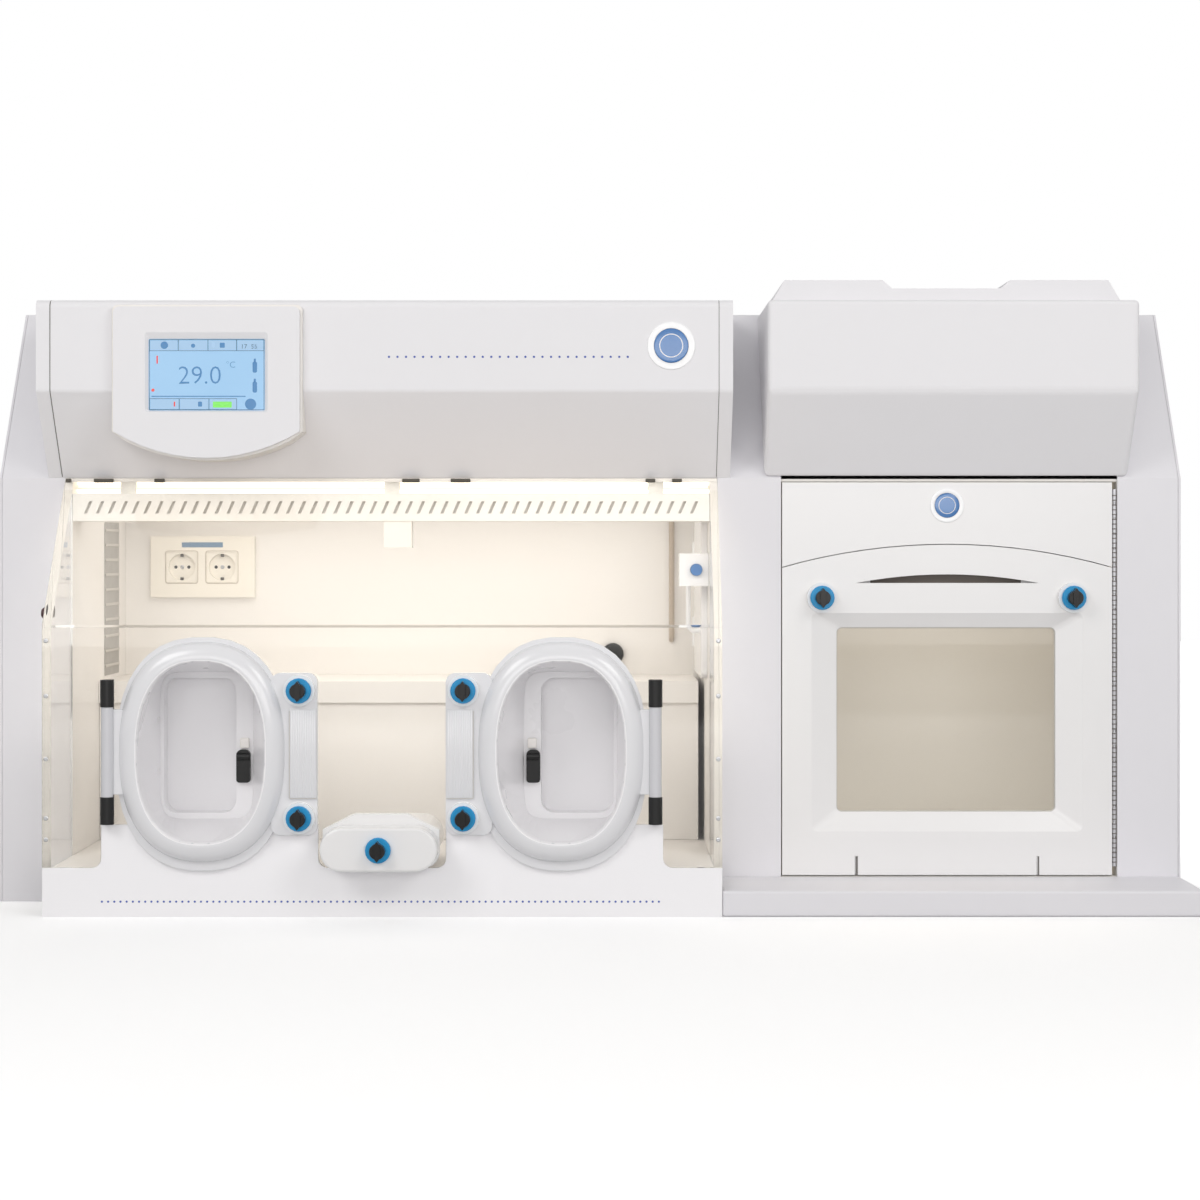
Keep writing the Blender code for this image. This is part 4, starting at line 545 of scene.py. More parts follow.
# pale grey: the pane's seal, and painted shadow along the port grips' edges
PALE_SEAL_AND_EDGE_SHADOW = Finish("pale_seal_and_edge_shadow", (0.62, 0.60, 0.57), (0.55, 0.53, 0.50), 0.50, 0.62)
BUNG = Finish("bung_dark", (0.055, 0.015, 0.018), (0.03, 0.012, 0.014), 0.35, 0.48)
SCREEN = ScreenFinish("lit_screen", (0.23, 0.42, 0.62), (0.19, 0.38, 0.59), 0.12, 0.20,
                      drift=0.6, drift_scale=6, edge=0)


def _ink(word: str, colour: Colour, shade: Colour, glow: float = 0.0) -> Finish:
    """One of the lit screen's printed colours."""
    return Finish(f"screen_ink_{word}", colour, shade, 0.2, 0.3, edge=0, glow=glow)


INK_BLUE = _ink("blue", (0.03, 0.17, 0.38), (0.03, 0.14, 0.33), 0.25)
INK_DARK = _ink("dark", (0.05, 0.10, 0.20), (0.04, 0.08, 0.16))
INK_PALE = _ink("pale", (0.28, 0.44, 0.62), (0.25, 0.41, 0.59), 0.3)
INK_GREEN = _ink("green", (0.16, 0.62, 0.08), (0.12, 0.54, 0.06), 0.4)
INK_RED = _ink("red", (0.70, 0.05, 0.04), (0.6, 0.04, 0.04), 0.3)
FLOOR = Finish("floor_white", (0.95, 0.95, 0.95), (0.94, 0.94, 0.94), 0.7, 0.8, edge=0)

SLOT_FINISH = {
    "cabinet_white": POWDER, "hood_white": HOOD, "moulded_white": MOULDED,
    "chamber_cream": CREAM, "clear_acrylic": CLEAR, "black_plastic": BLACK,
    "hinge_grey": HINGE, "screen_blue": SCREEN, "lamp_white": LAMP, "conduit_brown": TUBING,
}


def make_piece(name: str, skins: Sequence[Skin] | bpy.types.Mesh, finish: Surface,
               body: str = "cabinet") -> None:
    """Puts surfaces into one object at the origin that moves with a body.

    Args:
        name: the piece's name.
        skins: its closed surfaces, or a finished mesh.
        finish: what it is made of.
        body: the body that it rides on.
    """
    if isinstance(skins, bpy.types.Mesh):
        mesh = skins
    else:
        start = np.cumsum([0] + [len(skin.points) for skin in skins])
        faces = []
        for first, skin in zip(start, skins):
            faces += (skin.quads + first).tolist() + [(cap + first).tolist() for cap in skin.caps]
        mesh = bpy.data.meshes.new(name)
        mesh.from_pydata(np.concatenate([skin.points for skin in skins]).tolist(), [], faces)
    mesh.shade_smooth()
    mesh.set_sharp_from_angle(angle=math.radians(32))
    mesh.materials.append(finish.material())
    item = bpy.data.objects.new(name, mesh)
    bpy.context.scene.collection.objects.link(item)
    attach(item, body)
    LOG.info("%s on %s: %d faces", name, body, len(mesh.polygons))


def screw_head(radius: float, height: float, centre: Place, facing: int = -1) -> Skin:
    """A low domed head with a round recess in it, on a surface that faces -Y or +Y.

    Args:
        radius: of the head.
        height: how far it stands proud.
        centre: the point where its axis meets the surface.
        facing: -1 or 1, the way it points along Y.

    Returns:
        The closed head.
    """
    rise = height * facing
    return turned([(radius, 0.0), (radius, rise * 0.35), (radius * 0.86, rise * 0.82),
                   (radius * 0.62, rise), (radius * 0.46, rise), (radius * 0.42, rise * 0.35)],
                  centre, 18)


@dataclass
class Cabinet:
    """The painted case: dresses the nodes, adds its printed dots and the chamber's wall grille."""

    dot_pitch: float = 0.00784
    dot_count: int = 91
    dot_left: float = -0.618
    dot_z: float = 0.0195
    dot_radius: float = 0.0014
    wall: float = -0.6838
    ribs: int = 10
    rib_pitch: float = 0.021

    def dress(self, frame: dict) -> None:
        """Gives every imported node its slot's finish, then the few that differ.
        """
        slots = {part["node"]: part["material_slot"] for part in frame["record"]["subparts"]}
        for name, item in frame["nodes"].items():
            item.data.materials.clear()
            finish = SPECIAL.get(name) or SLOT_FINISH[slots[name]]
            item.data.materials.append(finish.material())

    def build(self) -> None:
        """Adds the dotted line along the foot of the front and the grille on the left wall."""
        dots = dotted(self.dot_left, self.dot_z, FRONT, self.dot_pitch, self.dot_count,
                      self.dot_radius)
        make_piece("base_dots", [dots], NAVY)
        grille = rounded_box(-0.035, 0.065, 0.288, 0.502, 0.003, 3)
        make_piece("wall_grille", [slab(grille, self.wall, self.wall + 0.0006, plane=Plane.SIDE)],
                   GRILLE)
        rib = slab(rounded_box(-0.033, 0.063, 0.2995, 0.3035, 0.001, 3), self.wall,
                   self.wall + 0.0020, 0.0006, Plane.SIDE)
        make_piece("wall_grille_ribs", [rib.repeated(moves(2, self.rib_pitch, self.ribs))],
                   DUCT_SHADE_AND_RIB_GREY)


def dotted(left: float, z: float, face: float, pitch: float, count: int, radius: float) -> Skin:
    """A row of thin printed dots on a surface that faces -Y, at left + i * pitch."""
    dot = turned([(radius, PRINT / 2), (radius, -PRINT)], (left, face, z), 16)
    return dot.repeated(moves(0, pitch, count))


@dataclass
class Badge:
    """A plain round badge: a pale domed rim and a blue domed face with one fine ring."""

    name: str
    x: float
    z: float
    face: float
    rim: float
    disc: float
    body: str

    def build(self) -> None:
        """Turns the rim, the blue face and the pale ring."""
        place = (self.x, self.face, self.z)
        rim = [(self.rim, 0.0), (self.rim, -0.0008), (self.rim * 0.985, -0.0014),
               (self.disc * 1.04, -0.0017), (self.disc, -0.0015), (self.disc * 0.99, 0.0)]
        flat = self.disc * 0.985
        dome = [(flat, -0.0003)] + [(flat * math.cos(a), -0.0014 - 0.0008 * math.sin(a))
                                    for a in np.linspace(0, math.pi / 2 * 0.97, 7)]
        ring = oval(self.disc * 0.66, self.disc * 0.66, 2, self.x, self.z, 64)
        half, depth = self.disc * 0.028, self.face - 0.00198
        section = [(-half, depth + 0.0004), (half, depth + 0.0005), (half, depth - 0.0001),
                   (-half, depth - 0.0002)]
        for word, skin, finish, slot in (
                ("rim", turned(rim, place, 64), BADGE_RIM, "hood_white"),
                ("face", turned(dome, place, 64), BADGE_BLUE, "knob_blue"),
                ("ring", hoop(ring, section), BADGE_RIM, "hood_white")):
            make_piece(f"{self.name}_{word}", [skin], finish, self.body)


@dataclass
class Hood:
    """The left hood's printed dots and the painted shade in the seams to its two end caps."""

    left: float = -0.2597
    pitch: float = 0.01102
    count: int = 29
    z: float = 0.7146
    radius: float = 0.0015
    profile: tuple[Pair, ...] = (
        (-0.3080, 0.7883), (-0.3111, 0.7879), (-0.3139, 0.7866), (-0.3161, 0.7844),
        (-0.3175, 0.7816), (-0.3180, 0.7785), (-0.3180, 0.6736), (-0.3177, 0.6712),
        (-0.3169, 0.6690), (-0.3163, 0.6680), (-0.2440, 0.5617))
    seams: tuple[Pair, ...] = ((-0.69785, 0.0006), (0.1669, 0.0004))

    def build(self) -> None:
        """Adds the dots below the bare place beside the badge, then the painted shade in the seams.
        """
        make_piece("hood_dots", [dotted(self.left, self.z, HOOD_FACE, self.pitch, self.count,
                                        self.radius)], NAVY)
        fold = np.array(self.profile)
        outline = np.concatenate([fold + [-0.0002, -0.00005], (fold + [0.0006, 0.0003])[::-1]])
        # dark strips in the gaps to the end caps: painted shade
        seams = [slab(outline, x - half, x + half, plane=Plane.SIDE) for x, half in self.seams]
        make_piece("hood_seam_shade", seams, SEAL_AND_GAP_SHADE)


@dataclass
class Screen:
    """What the lit screen shows: frames, numbers and gauges in thin raised layers."""

    left: float = -0.5687
    right: float = -0.4187
    low: float = 0.6446
    high: float = 0.7372
    columns: float = 117.5   # the layout's own units across and up
    rows: float = 72.0

    def at(self, u: float, v: float) -> Pair:
        """World X and Z of a place on the layout, counted from its top left."""
        return (self.left + (self.right - self.left) * u / self.columns,
                self.high - (self.high - self.low) * v / self.rows)

    def patch(self, u0: float, v0: float, u1: float, v1: float, radius: float = 0.0006,
              lift: float = 0.0) -> Skin:
        """A thin rounded patch between two places on the layout."""
        (left, high), (right, low) = self.at(u0, v0), self.at(u1, v1)
        face = SCREEN_FACE - lift
        return slab(rounded_box(left, right, low, high, radius, 3), face - PRINT, face + PRINT / 2)

    def outline(self, u0: float, v0: float, u1: float, v1: float) -> Skin:
        """A fine frame between two places on the layout."""
        (left, high), (right, low) = self.at(u0, v0), self.at(u1, v1)
        half, back, front = 0.00032, SCREEN_FACE + PRINT / 2, SCREEN_FACE - PRINT
        return hoop(rounded_box(left, right, low, high, 0.0006, 3),
                    [(-half, back), (half, back), (half, front), (-half, front)])

    def words(self, text: str, u: float, v: float, height: float) -> bpy.types.Mesh:
        """Numbers as a thin mesh facing -Y.

        Args:
            text: the digits.
            u: the place of their left end on the layout.
            v: the place of their foot.
            height: of the font, in metres.

        Returns:
            The mesh, in place.
        """
        curve = bpy.data.curves.new("digits", "FONT")
        curve.body, curve.size, curve.extrude = text, height, PRINT / 2
        curve.resolution_u, curve.offset = 3, -0.012 * height
        guide = bpy.data.objects.new("digits", curve)
        bpy.context.scene.collection.objects.link(guide)
        graph = bpy.context.evaluated_depsgraph_get()
        graph.update()
        mesh = bpy.data.meshes.new_from_object(guide.evaluated_get(graph))
        bpy.data.objects.remove(guide, do_unlink=True)
        x, z = self.at(u, v)
        mesh.transform(Matrix.Translation((x, SCREEN_FACE - PRINT / 2, z))
                       @ Matrix.Rotation(math.pi / 2, 4, "X"))
        return mesh

    def build(self) -> None:
        """Lays out the top row, the big number, the gauges and the bottom row."""
        boxes = ((1, 1, 30, 12), (30, 1, 60, 12), (60, 1, 89, 12), (89, 1, 116.5, 12),
                 (1, 60, 31, 71), (31, 60, 61, 71), (61, 60, 89, 71))
        frames = [self.outline(*box) for box in ((1, 1, 116.5, 71), *boxes)]
        cells = [self.patch(u0 + 1, v0 + 1, u1 - 1, v1 - 1) for u0, v0, u1, v1 in boxes]
        gauges = [self.patch(*box) for box in (
            (105.0, 23, 109.5, 34, 0.002), (106.2, 20, 108.3, 23.5, 0.0005),
            (105.0, 43, 109.5, 54, 0.002), (106.2, 40, 108.3, 43.5, 0.0005),
            (3, 57.2, 98, 58.2, 0.0003), (50, 63, 54, 68, 0.001, PRINT),
            (43, 5, 47, 9, 0.002, PRINT), (72, 4, 77, 9, 0.001, PRINT))]
        for u, v, radius, rise, steps in ((103, 65.5, 0.0072, PRINT, 28),
                                          (16, 6.5, 0.0048, 2 * PRINT, 24)):
            x, z = self.at(u, v)
            gauges.append(turned([(radius, PRINT / 2), (radius, -rise)], (x, SCREEN_FACE, z),
                                 steps))
        battery = [self.patch(65, 63, 84, 69, 0.0006, PRINT)]
        marks = [self.patch(3, 50, 6, 53, 0.0012), self.patch(8, 17, 9.5, 25, 0.0006),
                 self.patch(25.5, 63, 27, 68, 0.0006, PRINT)]
        for name, shapes, ink in (
                ("frames", frames, INK_DARK), ("cells", cells, INK_PALE),
                ("gauges", gauges, INK_BLUE), ("battery", battery, INK_GREEN),
                ("marks", marks, INK_RED),
                ("number", self.words("29.0", 29.3, 45.2, 0.0332), INK_BLUE),
                ("degree", self.words("°C", 78, 29, 0.0115), INK_BLUE),
                ("clock", self.words("17  55", 93, 10, 0.0085), INK_DARK)):
            make_piece(f"screen_{name}", shapes, ink)


@dataclass
class Port:
    """One arm port's ribbed grip, rim cover and door tab. side is -1 at the left."""

    side: int
    spacing: float = 0.454
    z: float = 0.210
    grip_low: float = 0.1522
    grip_high: float = 0.2621
    grip_face: float = -0.3923
    grip_reach: float = 0.145
    grip_width: float = 0.034
    ribs: int = 11
    rib: float = 0.0005

    @property
    def word(self) -> str:
        """The side's name."""
        return "left" if self.side < 0 else "right"

    def out(self, reach: float) -> float:
        """World X of a distance from the port's middle, away from the chamber's middle."""
        return CHAMBER_X + self.side * (self.spacing / 2 + reach)

    def grip(self) -> Skin:
        """A ribbed strip: the front is face - rib * |sin(ribs * pi * s)| for s across it."""
        s = np.linspace(0, 1, self.ribs * 8 + 1)
        edges = sorted((self.out(-self.grip_reach), self.out(-self.grip_reach + self.grip_width)))
        x = edges[0] + 0.001 + (edges[1] - edges[0] - 0.002) * s
        y = self.grip_face - self.rib * np.abs(np.sin(self.ribs * math.pi * s)) - 0.0001
        back = self.grip_face + 0.0003
        section = np.concatenate([np.stack([x, y], 1), [[x[-1], back], [x[0], back]]])
        levels = (self.grip_low, self.grip_low + 0.0008, self.grip_high - 0.0008, self.grip_high)
        rows = np.stack([placed(Plane.TOP, *section.T, z) for z in levels])
        rows[[0, -1], :, 1] = np.maximum(rows[[0, -1], :, 1], self.grip_face - 0.0002)
        return grid(rows)

    def build(self) -> None:
        """Builds the grip, painted shadow at two of its edges, the rim's cover and the door's tab.

        The cover runs over the rim's flat front and falls to the flange as crown - rise *
        (1 - cos(a)) at reach * sin(a) outside the rim.
        """
        body, word, face = f"{self.word}_port", self.word, self.grip_face
        flange = FLANGES[f"{word}_port_flange"]
        make_piece(f"{word}_port_grip", [self.grip()], flange, body)
        near, far = self.out(-self.grip_reach + self.grip_width), self.out(-self.grip_reach)
        low, high = self.grip_low, self.grip_high
        # thin grey strips at the grip's inner edge and foot: painted shadow
        lines = [rounded_box(near - 0.0006, near + 0.0006, low, high, 0.0003, 2),
                 rounded_box(min(near, far), max(near, far), low - 0.0012, low, 0.0003, 2)]
        make_piece(f"{word}_grip_edge_shadows",
                   [slab(line, face - 0.0002, face + 0.0002) for line in lines],
                   PALE_SEAL_AND_EDGE_SHADOW, body)
        rim = oval(0.0862, 0.1201, 2.4, self.out(0), self.z, 144)
        t = np.linspace(0, math.pi / 2, 11)
        reach, rise, foot = 0.0190, 0.0157, FRONT - 0.0064
        lip, crown = 0.0030, foot - rise
        cover = [(-0.0060, -0.3990), (-0.0054, -0.4006), (-0.0042, -0.4018)]
        cover += [(-lip + (reach + lip) * math.sin(a), crown + rise * (1 - math.cos(a))) for a in t]
        cover += [(reach, foot + 0.0004), (0.0001, foot + 0.0004), (-0.0010, -0.3990)]
        make_piece(f"{word}_rim_cover", [hoop(rim, cover)], flange, body)
        tab = rounded_box(*sorted((self.out(-0.0335), self.out(-0.0455))), 0.2065, 0.2200, 0.002)
        make_piece(f"{word}_latch_stop", [slab(tab, -0.2905, -0.2848, 0.0012)], CREAM,
                   f"{word}_inner_port_door")


@dataclass
class SocketPair:
    """The two earthed sockets on the back wall: frames, pin holes, clips, screws and a strip."""

    left: float = -0.6004
    pitch: float = 0.059
    z: float = 0.4375
    half: float = 0.0232
    pin: float = 0.0095
    face: float = 0.1117
    floor: float = 0.1177

    def build(self) -> None:
        """Builds each socket's parts once and repeats them at the pitch."""
        pair = moves(0, self.pitch, 2)
        x, z, face = self.left, self.z, self.face
        frame = rounded_box(x - self.half, x + self.half, z - self.half, z + self.half, 0.003)
        edge = [(-0.0014, face + 0.0002), (0.0, face + 0.0002), (0.0, face - 0.0008),
                (-0.0014, face - 0.0014)]
        make_piece("socket_frames", [hoop(frame, edge).repeated(pair)], SOCKET)
        line = [(-0.0003, face + 0.0001), (0.0005, face + 0.0001), (0.0005, face - 0.00015),
                (-0.0003, face - 0.00015)]
        make_piece("socket_outlines", [hoop(grown(frame, 0.0004), line)
                                       .repeated(pair)], TUBING)
        holes = [turned([(0.0024, 0.0001), (0.0024, -0.0002)], (x + side * self.pin, self.floor, z),
                        20).repeated(pair) for side in (-1, 1)]
        make_piece("socket_holes", holes, BLACK)
        clips = []
        for level in (-1, 1):
            ends = sorted((z + level * 0.0150, z + level * 0.0192))
            clip = rounded_box(x - 0.0022, x + 0.0022, *ends, 0.0006, 3)
            clips.append(slab(clip, face + 0.0006, self.floor, 0.0004).repeated(pair))
        make_piece("socket_earth_clips", clips, CLIP)
        heads = [screw_head(0.0030, 0.0012, (x, self.floor, z)).repeated(pair)]
        make_piece("socket_screws", heads, STEEL)
        strip = rounded_box(-0.600, -0.540, 0.4665, 0.4739, 0.0006, 3)
        make_piece("socket_label_strip", [slab(strip, face - 0.0003, face + 0.0001)],
                   STRIP)


@dataclass
class ChamberFittings:
    """The left cheek's bung, the sloped window's clips, painted shade in the duct and edge screws.
    """

    bung: Place = (-0.694, -0.345, 0.384)
    clip_spans: tuple[Pair, ...] = (
        (-0.6915, -0.6850), (-0.6545, -0.6290), (-0.5747, -0.5615), (-0.248, -0.225),
        (-0.184, -0.158), (0.073, 0.086), (0.108, 0.121))
    screw_columns: tuple[float, ...] = (-0.689, 0.163)
    screw_rows: tuple[float, ...] = (0.098, 0.125, 0.200, 0.280, 0.350)

    def build(self) -> None:
        """Builds the bung, the clips, the painted shade behind the duct's slots and the screws."""
        bung = [(0.0078, 0.0), (0.0078, -0.0030), (0.0070, -0.0062), (0.0048, -0.0082),
                (0.0020, -0.0088)]
        make_piece("cheek_bung", [turned(bung, self.bung, 28, Plane.SIDE)], BUNG)
        clips = [slab(rounded_box(low, high, 0.5540, 0.5590, 0.0010, 3), CABINET_FRONT - 0.0112,
                      CABINET_FRONT - 0.0050, 0.0007) for low, high in self.clip_spans]
        make_piece("window_clips", clips, CLIP)
        # a grey sheet behind the duct's slots: painted shade for the duct's dark inside
        inside = rounded_box(-0.6815, 0.1555, 0.5045, 0.5333, 0.001, 2)
        make_piece("duct_shade_and_rib_grey", [slab(inside, -0.2392, -0.2386)], DUCT_SHADE_AND_RIB_GREY)
        heads = [screw_head(0.0030, 0.0011, (x, FRONT, z))
                 for x in self.screw_columns for z in self.screw_rows]
        make_piece("window_screws", heads, STEEL)


@dataclass
class Rear:
    """The back panel's screws, its two louvred vents, a bare plate and the inlet's frame."""

    face: float = 0.378
    vents: tuple[float, ...] = (-0.36, 0.40)
    vent_width: float = 0.16
    vent_low: float = 0.500
    vent_pitch: float = 0.013
    louvres: int = 14

    def build(self) -> None:
        """Builds one screw, one slot and one louvre and repeats each."""
        face = self.face
        spots = [(x, z) for x in np.linspace(-0.765, 0.765, 7) for z in (0.013, 0.777)]
        spots += [(x, z) for x in (-0.765, 0.765) for z in (0.204, 0.395, 0.586)]
        screw = screw_head(0.0042, 0.0016, (0, face, 0), 1)
        make_piece("rear_screws", [screw.repeated(np.array([(x, 0.0, z) for x, z in spots]))],
                   STEEL)
        rows = np.tile(moves(2, self.vent_pitch, self.louvres), (len(self.vents), 1))
        rows[:, 0] = np.repeat(self.vents, self.louvres)
        rows[:, 2] += self.vent_low
        half = self.vent_width / 2
        slot = rounded_box(-half, half, 0.0, 0.0055, 0.0015, 3)
        make_piece("rear_vent_slots", [slab(slot, face - 0.0002, face + 0.0002)
                                       .repeated(rows)], SLOT_SHADE)
        louvre = rounded_box(-half - 0.002, half + 0.002, 0.0042, 0.0095, 0.0018, 3)
        make_piece("rear_louvres", [slab(louvre, face - 0.0002, face + 0.0017, 0.0012)
                                    .repeated(rows)], POWDER)
        plate = rounded_box(-0.50, -0.42, 0.098, 0.143, 0.002, 4)
        make_piece("rear_plate", [slab(plate, face - 0.0002, face + 0.0007, 0.0003)],
                   STEEL)
        inlet = rounded_box(-0.6150, -0.5850, 0.1085, 0.1315, 0.002, 4)
        rim = [(0.0, face - 0.0002), (0.0, face + 0.0012), (0.0006, face + 0.0018),
               (0.0052, face + 0.0018), (0.0060, face - 0.0002)]
        make_piece("inlet_frame", [hoop(inlet, rim)], BLACK)


@dataclass
class Airlock:
    """Door pane and front seals; painted shade on the slot floor, in foot slits and hinge gaps."""

    x: float = 0.4722
    half: float = 0.14535
    low: float = 0.1176
    high: float = 0.3622
    slot_half: float = 0.100
    slit_half: float = 0.0016
    slits: tuple[float, ...] = (0.3531, 0.5939)
    hinge: Place = (0.6937, -0.2402, 0.0520)
    knuckles: int = 78
    knuckle: float = 0.00630

    def build(self) -> None:
        """Builds what rides on the door, then on the front, then on the cabinet."""
        sight = rounded_box(self.x - self.half, self.x + self.half, self.low, self.high, 0.007)
        face = AIRLOCK_FACE + 0.0137
        seal = [(-0.0012, face + 0.0020), (0.0, face + 0.0020), (0.0, face), (-0.0008, face)]
        make_piece("airlock_pane_seal", [hoop(sight, seal)], PALE_SEAL_AND_EDGE_SHADOW,
                   "airlock_outer_door")
        slot = rounded_box(self.x - self.slot_half, self.x + self.slot_half, 0.4195, 0.4335,
                           0.002, 3)
        make_piece("airlock_slot_floor", [slab(slot, -0.2288, -0.2283)], SLOT_SHADE,
                   "airlock_outer_door")
        # dark strips in the two foot slits: painted shade
        half = self.slit_half
        slits = [slab(rounded_box(x - half, x + half, 0.0352, 0.0592, 0.0005, 2), -0.2411, -0.2403)
                 for x in self.slits]
        make_piece("airlock_foot_slit_shade", slits, SEAL_AND_GAP_SHADE, "airlock_front")
        # dark rings between the hinge's knuckles: painted shade in the gaps
        gap = turned([(0.0029, -0.0008), (0.0029, 0.0008)], self.hinge, 20, Plane.TOP)
        make_piece("airlock_hinge_gap_shade", [gap.repeated(moves(2, self.knuckle, self.knuckles))],
                   SEAL_AND_GAP_SHADE)
        ring = rounded_box(0.2680, 0.6764, 0.0490, 0.5400, 0.012)
        rear = AIRLOCK_FACE + 0.028
        section = [(-0.004, rear - 0.0002), (0.004, rear - 0.0002), (0.003, rear + 0.003),
                   (0.0, rear + 0.004), (-0.003, rear + 0.003)]
        make_piece("airlock_front_seal", [hoop(ring, section)], SEAL_AND_GAP_SHADE,
                   "airlock_front")


def _knob(name: str, seat: float) -> KnobFinish:
    """The finish of a knob whose foot lies at a world Y, its ring's face 7 mm ahead of that."""
    return KnobFinish(name, (0.014, 0.31, 0.64), (0.012, 0.27, 0.58), 0.24, 0.34,
                      ring_front=seat - 0.007, specular=0.35)


PORT_KNOB = _knob("knob_blue_port", -0.3973)
ENTRY_KNOB = _knob("knob_blue_entry", -0.4366)
DOOR_KNOB = _knob("knob_blue_airlock", -0.2505)
KNOBS: dict[str, Finish] = {f"{side}_port_{level}_knob": PORT_KNOB
                            for side in ("left", "right") for level in ("upper", "lower")}
KNOBS |= {"entry_knob": ENTRY_KNOB, "airlock_left_knob": DOOR_KNOB,
          "airlock_right_knob": DOOR_KNOB,
          "switch_button": Finish("button_blue", (0.02, 0.16, 0.45), (0.02, 0.13, 0.4), 0.25, 0.35)}


def _flange(side: int) -> FlangeFinish:
    """The finish of one port's flange. side is -1 at the left."""
    port = Port(side)
    knob_x = port.out(-0.1235)
    return FlangeFinish(f"{port.word}_flange_milky", (0.80, 0.80, 0.82), (0.75, 0.75, 0.78),
                        0.16, 0.26, coat=0.3, barrel=(port.out(0.119), -0.392, 0.0),
                        collars=((knob_x, 0.0, 0.2876), (knob_x, 0.0, 0.1267)))


FLANGES: dict[str, Finish] = {"left_port_flange": _flange(-1), "right_port_flange": _flange(1)}
# pods, port doors and the front base panel take lightened whites: painted light
SPECIAL = {"air_duct": DUCT, "airlock_liner": LINER, "socket_plate": SOCKET,
           "left_port_pod": POD_WHITE_PAINTED_LIGHT, "right_port_pod": POD_WHITE_PAINTED_LIGHT, "left_port_door": POD_WHITE_PAINTED_LIGHT,
           "right_port_door": POD_WHITE_PAINTED_LIGHT, "front_base_panel": PANEL_WHITE_PAINTED_LIGHT, **KNOBS, **FLANGES}


@dataclass(frozen=True)
class Lamp:
    """An area lamp of a width and height and a power in watts, aimed at a point."""

    name: str
    place: Place
    target: Place
    size: Pair
    power: float
    colour: Colour = (1.0, 0.985, 0.97)
    mirrored: bool = True    # whether shiny surfaces show it

    def build(self) -> None:
        """Hangs the lamp. Only shiny surfaces may show the lamp itself."""
        light = bpy.data.lights.new(self.name, "AREA")
        light.shape, light.size, light.size_y = "RECTANGLE", *self.size
        light.energy, light.color = self.power, self.colour
        item = bpy.data.objects.new(self.name, light)
        aim = np.array(self.target, float) - np.array(self.place, float)
        item.location = self.place
        item.rotation_euler = (math.acos(-aim[2] / np.linalg.norm(aim)), 0.0,
                               math.atan2(-aim[0], aim[1]))
        item.visible_camera = item.visible_transmission = False
        item.visible_glossy = self.mirrored
        bpy.context.scene.collection.objects.link(item)


LAMPS = (
    Lamp("left_lamp", (-1.9, -2.7, 2.1), (-0.2, -0.3, 0.40), (1.5, 1.2), 25.0),
    Lamp("right_lamp", (2.0, -2.7, 2.1), (0.2, -0.3, 0.40), (1.5, 1.2), 25.0),
    Lamp("front_lamp", (0.0, -3.9, 0.8), (0.0, -0.3, 0.40), (3.0, 1.0), 27.5),
    Lamp("top_lamp", (0.1, -0.7, 3.1), (0.1, -0.1, 0.4), (3.0, 2.0), 4.0),
    Lamp("chamber_lamp", (CHAMBER_X, -0.06, 0.545), (CHAMBER_X, -0.05, 0.0), (0.78, 0.24), 0.78,
         (1.0, 0.98, 0.945)),
    Lamp("airlock_lamp", (0.4722, 0.02, 0.545), (0.4722, 0.06, 0.0), (0.36, 0.22), 0.53,
         (1.0, 0.92, 0.81)),
    Lamp("glow_lamp", (CHAMBER_X, -0.30, 0.44), (CHAMBER_X, -0.29, 0.62), (0.80, 0.05), 0.09,
         (1.0, 0.56, 0.14), mirrored=False),
)


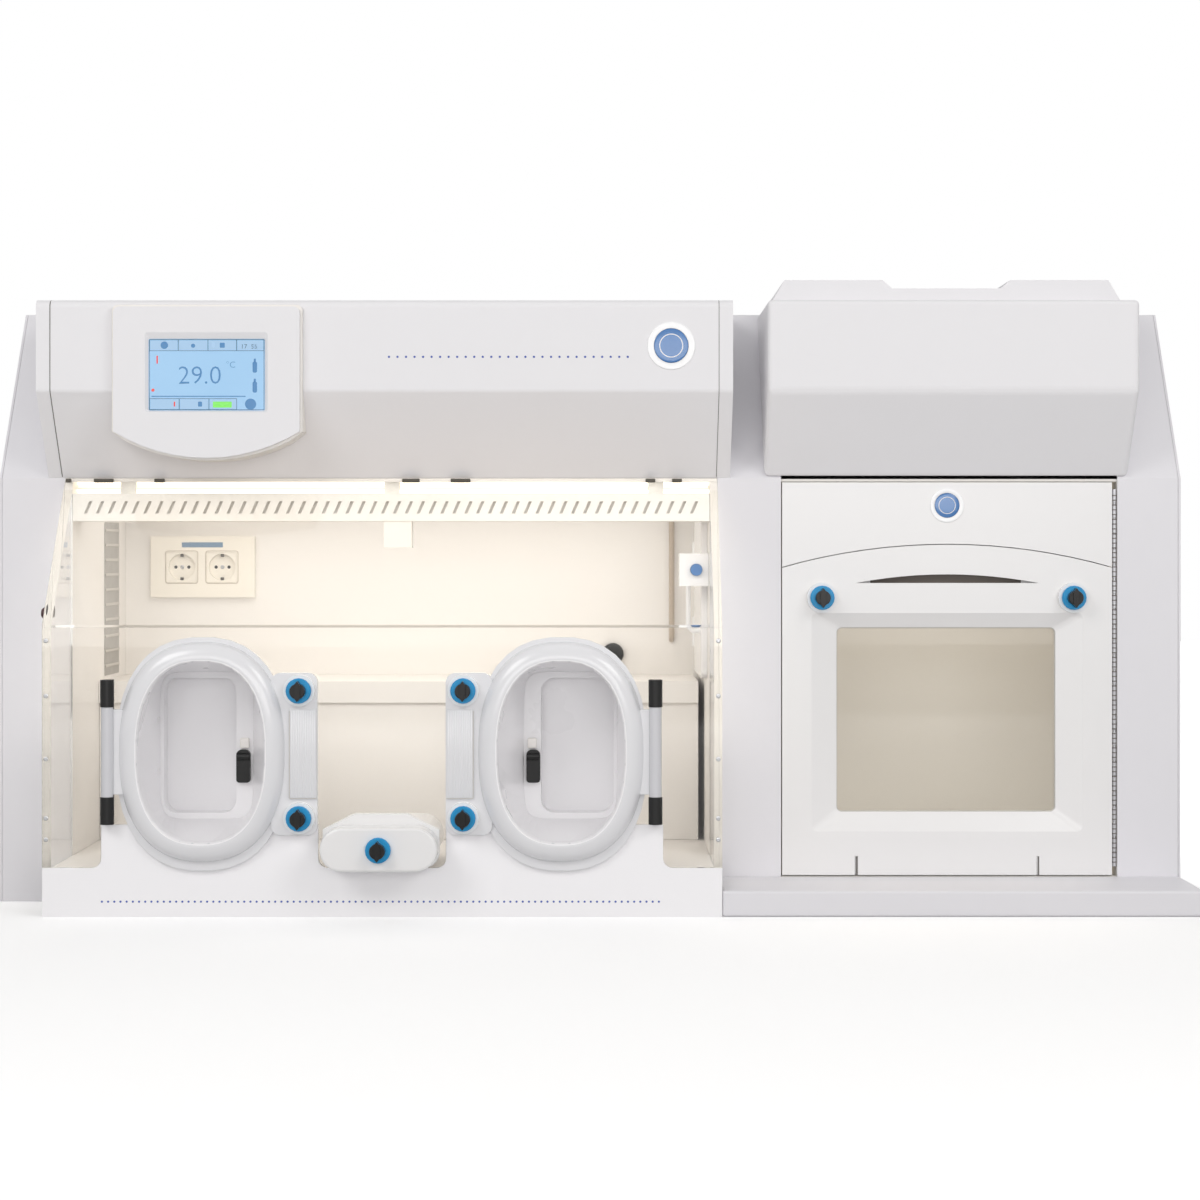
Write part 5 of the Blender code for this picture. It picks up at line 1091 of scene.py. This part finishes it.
@dataclass
class Studio:
    """Floor, world, lamps and the camera, which looks level along +Y."""

    lens: float = 73.41
    eye: Place = (0.013, -3.48, 0.465)
    horizon_shift: float = -50 / 1200
    surround: float = 0.39
    reach: float = 9.0        # half the floor's width
    floor_lift: float = 0.20
    lift_span: float = 0.35   # the floor's own light rises from -span to span in Y
    bounce: float = 0.66

    def build(self) -> None:
        """Builds all four."""
        scene = bpy.context.scene
        scene.view_settings.view_transform = "Standard"
        self.floor()
        self.world(scene)
        for lamp in LAMPS:
            lamp.build()
        camera = bpy.data.cameras.new("camera")
        camera.lens, camera.sensor_width, camera.shift_y = self.lens, 36.0, self.horizon_shift
        item = bpy.data.objects.new("camera", camera)
        item.location = self.eye
        item.rotation_euler = (math.pi / 2, 0.0, 0.0)
        scene.collection.objects.link(item)
        scene.camera = item

    def floor(self) -> None:
        """A pale bench. The camera sees it lit up towards the back, where it meets the white."""
        far = self.reach
        mesh = bpy.data.meshes.new("floor")
        mesh.from_pydata([(-far, -far, 0), (far, -far, 0), (far, far, 0), (-far, far, 0)], [],
                         [(0, 1, 2, 3)])
        material = FLOOR.material()
        tree = material.node_tree
        split = node(tree, "SeparateXYZ", {0: node(tree, "TexCoord").outputs["Object"]})
        level = node(tree, "MapRange", {
            "Value": split.outputs["Y"], "From Min": -self.lift_span, "From Max": self.lift_span,
            "To Min": self.floor_lift, "To Max": 1.0}, interpolation_type="SMOOTHSTEP")
        glow = node(tree, "Emission", {"Strength": level.outputs["Result"]})
        both = node(tree, "AddShader", {0: tree.nodes["Principled BSDF"].outputs[0],
                                        1: glow.outputs[0]})
        dull = node(tree, "BsdfDiffuse", {"Color": (self.bounce, self.bounce, self.bounce, 1.0)})
        mixed(tree, node(tree, "LightPath").outputs["Is Camera Ray"], dull.outputs[0],
              both.outputs[0], tree.nodes["Material Output"])
        mesh.materials.append(material)
        item = bpy.data.objects.new("floor", mesh)
        bpy.context.scene.collection.objects.link(item)

    def world(self, scene: bpy.types.Scene) -> None:
        """White where the camera, a gloss or a clear sheet sees it, softer as light.

        Args:
            scene: the scene to light.
        """
        world = bpy.data.worlds.new("studio")
        scene.world = world
        world.use_nodes = True
        tree = world.node_tree
        soft = feed(tree, tree.nodes["Background"], {"Color": WHITE, "Strength": self.surround})
        white = node(tree, "Background", {"Color": WHITE, "Strength": 1.0})
        path = node(tree, "LightPath").outputs
        first = node(tree, "Math", {0: path["Is Camera Ray"], 1: path["Is Glossy Ray"]},
                     operation="MAXIMUM")
        second = node(tree, "Math", {0: first.outputs[0], 1: path["Is Transmission Ray"]},
                      operation="MAXIMUM")
        mixed(tree, second.outputs[0], soft.outputs[0], white.outputs[0],
              tree.nodes["World Output"])


def main(frame: dict) -> None:
    """Builds the classes in order.
    """
    logging.basicConfig(level=logging.INFO, format="%(name)s: %(message)s")
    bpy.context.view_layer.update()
    Studio().build()
    Cabinet().dress(frame)
    Cabinet().build()
    Hood().build()
    Screen().build()
    Badge("hood_badge", 0.105, 0.729, HOOD_FACE, 0.031, 0.0225, "cabinet").build()
    Badge("airlock_badge", 0.472, 0.524, AIRLOCK_FACE, 0.0225, 0.0165, "airlock_front").build()
    for side in (-1, 1):
        Port(side).build()
    SocketPair().build()
    ChamberFittings().build()
    Airlock().build()
    Rear().build()


if __name__ == "__main__":
    main(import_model())
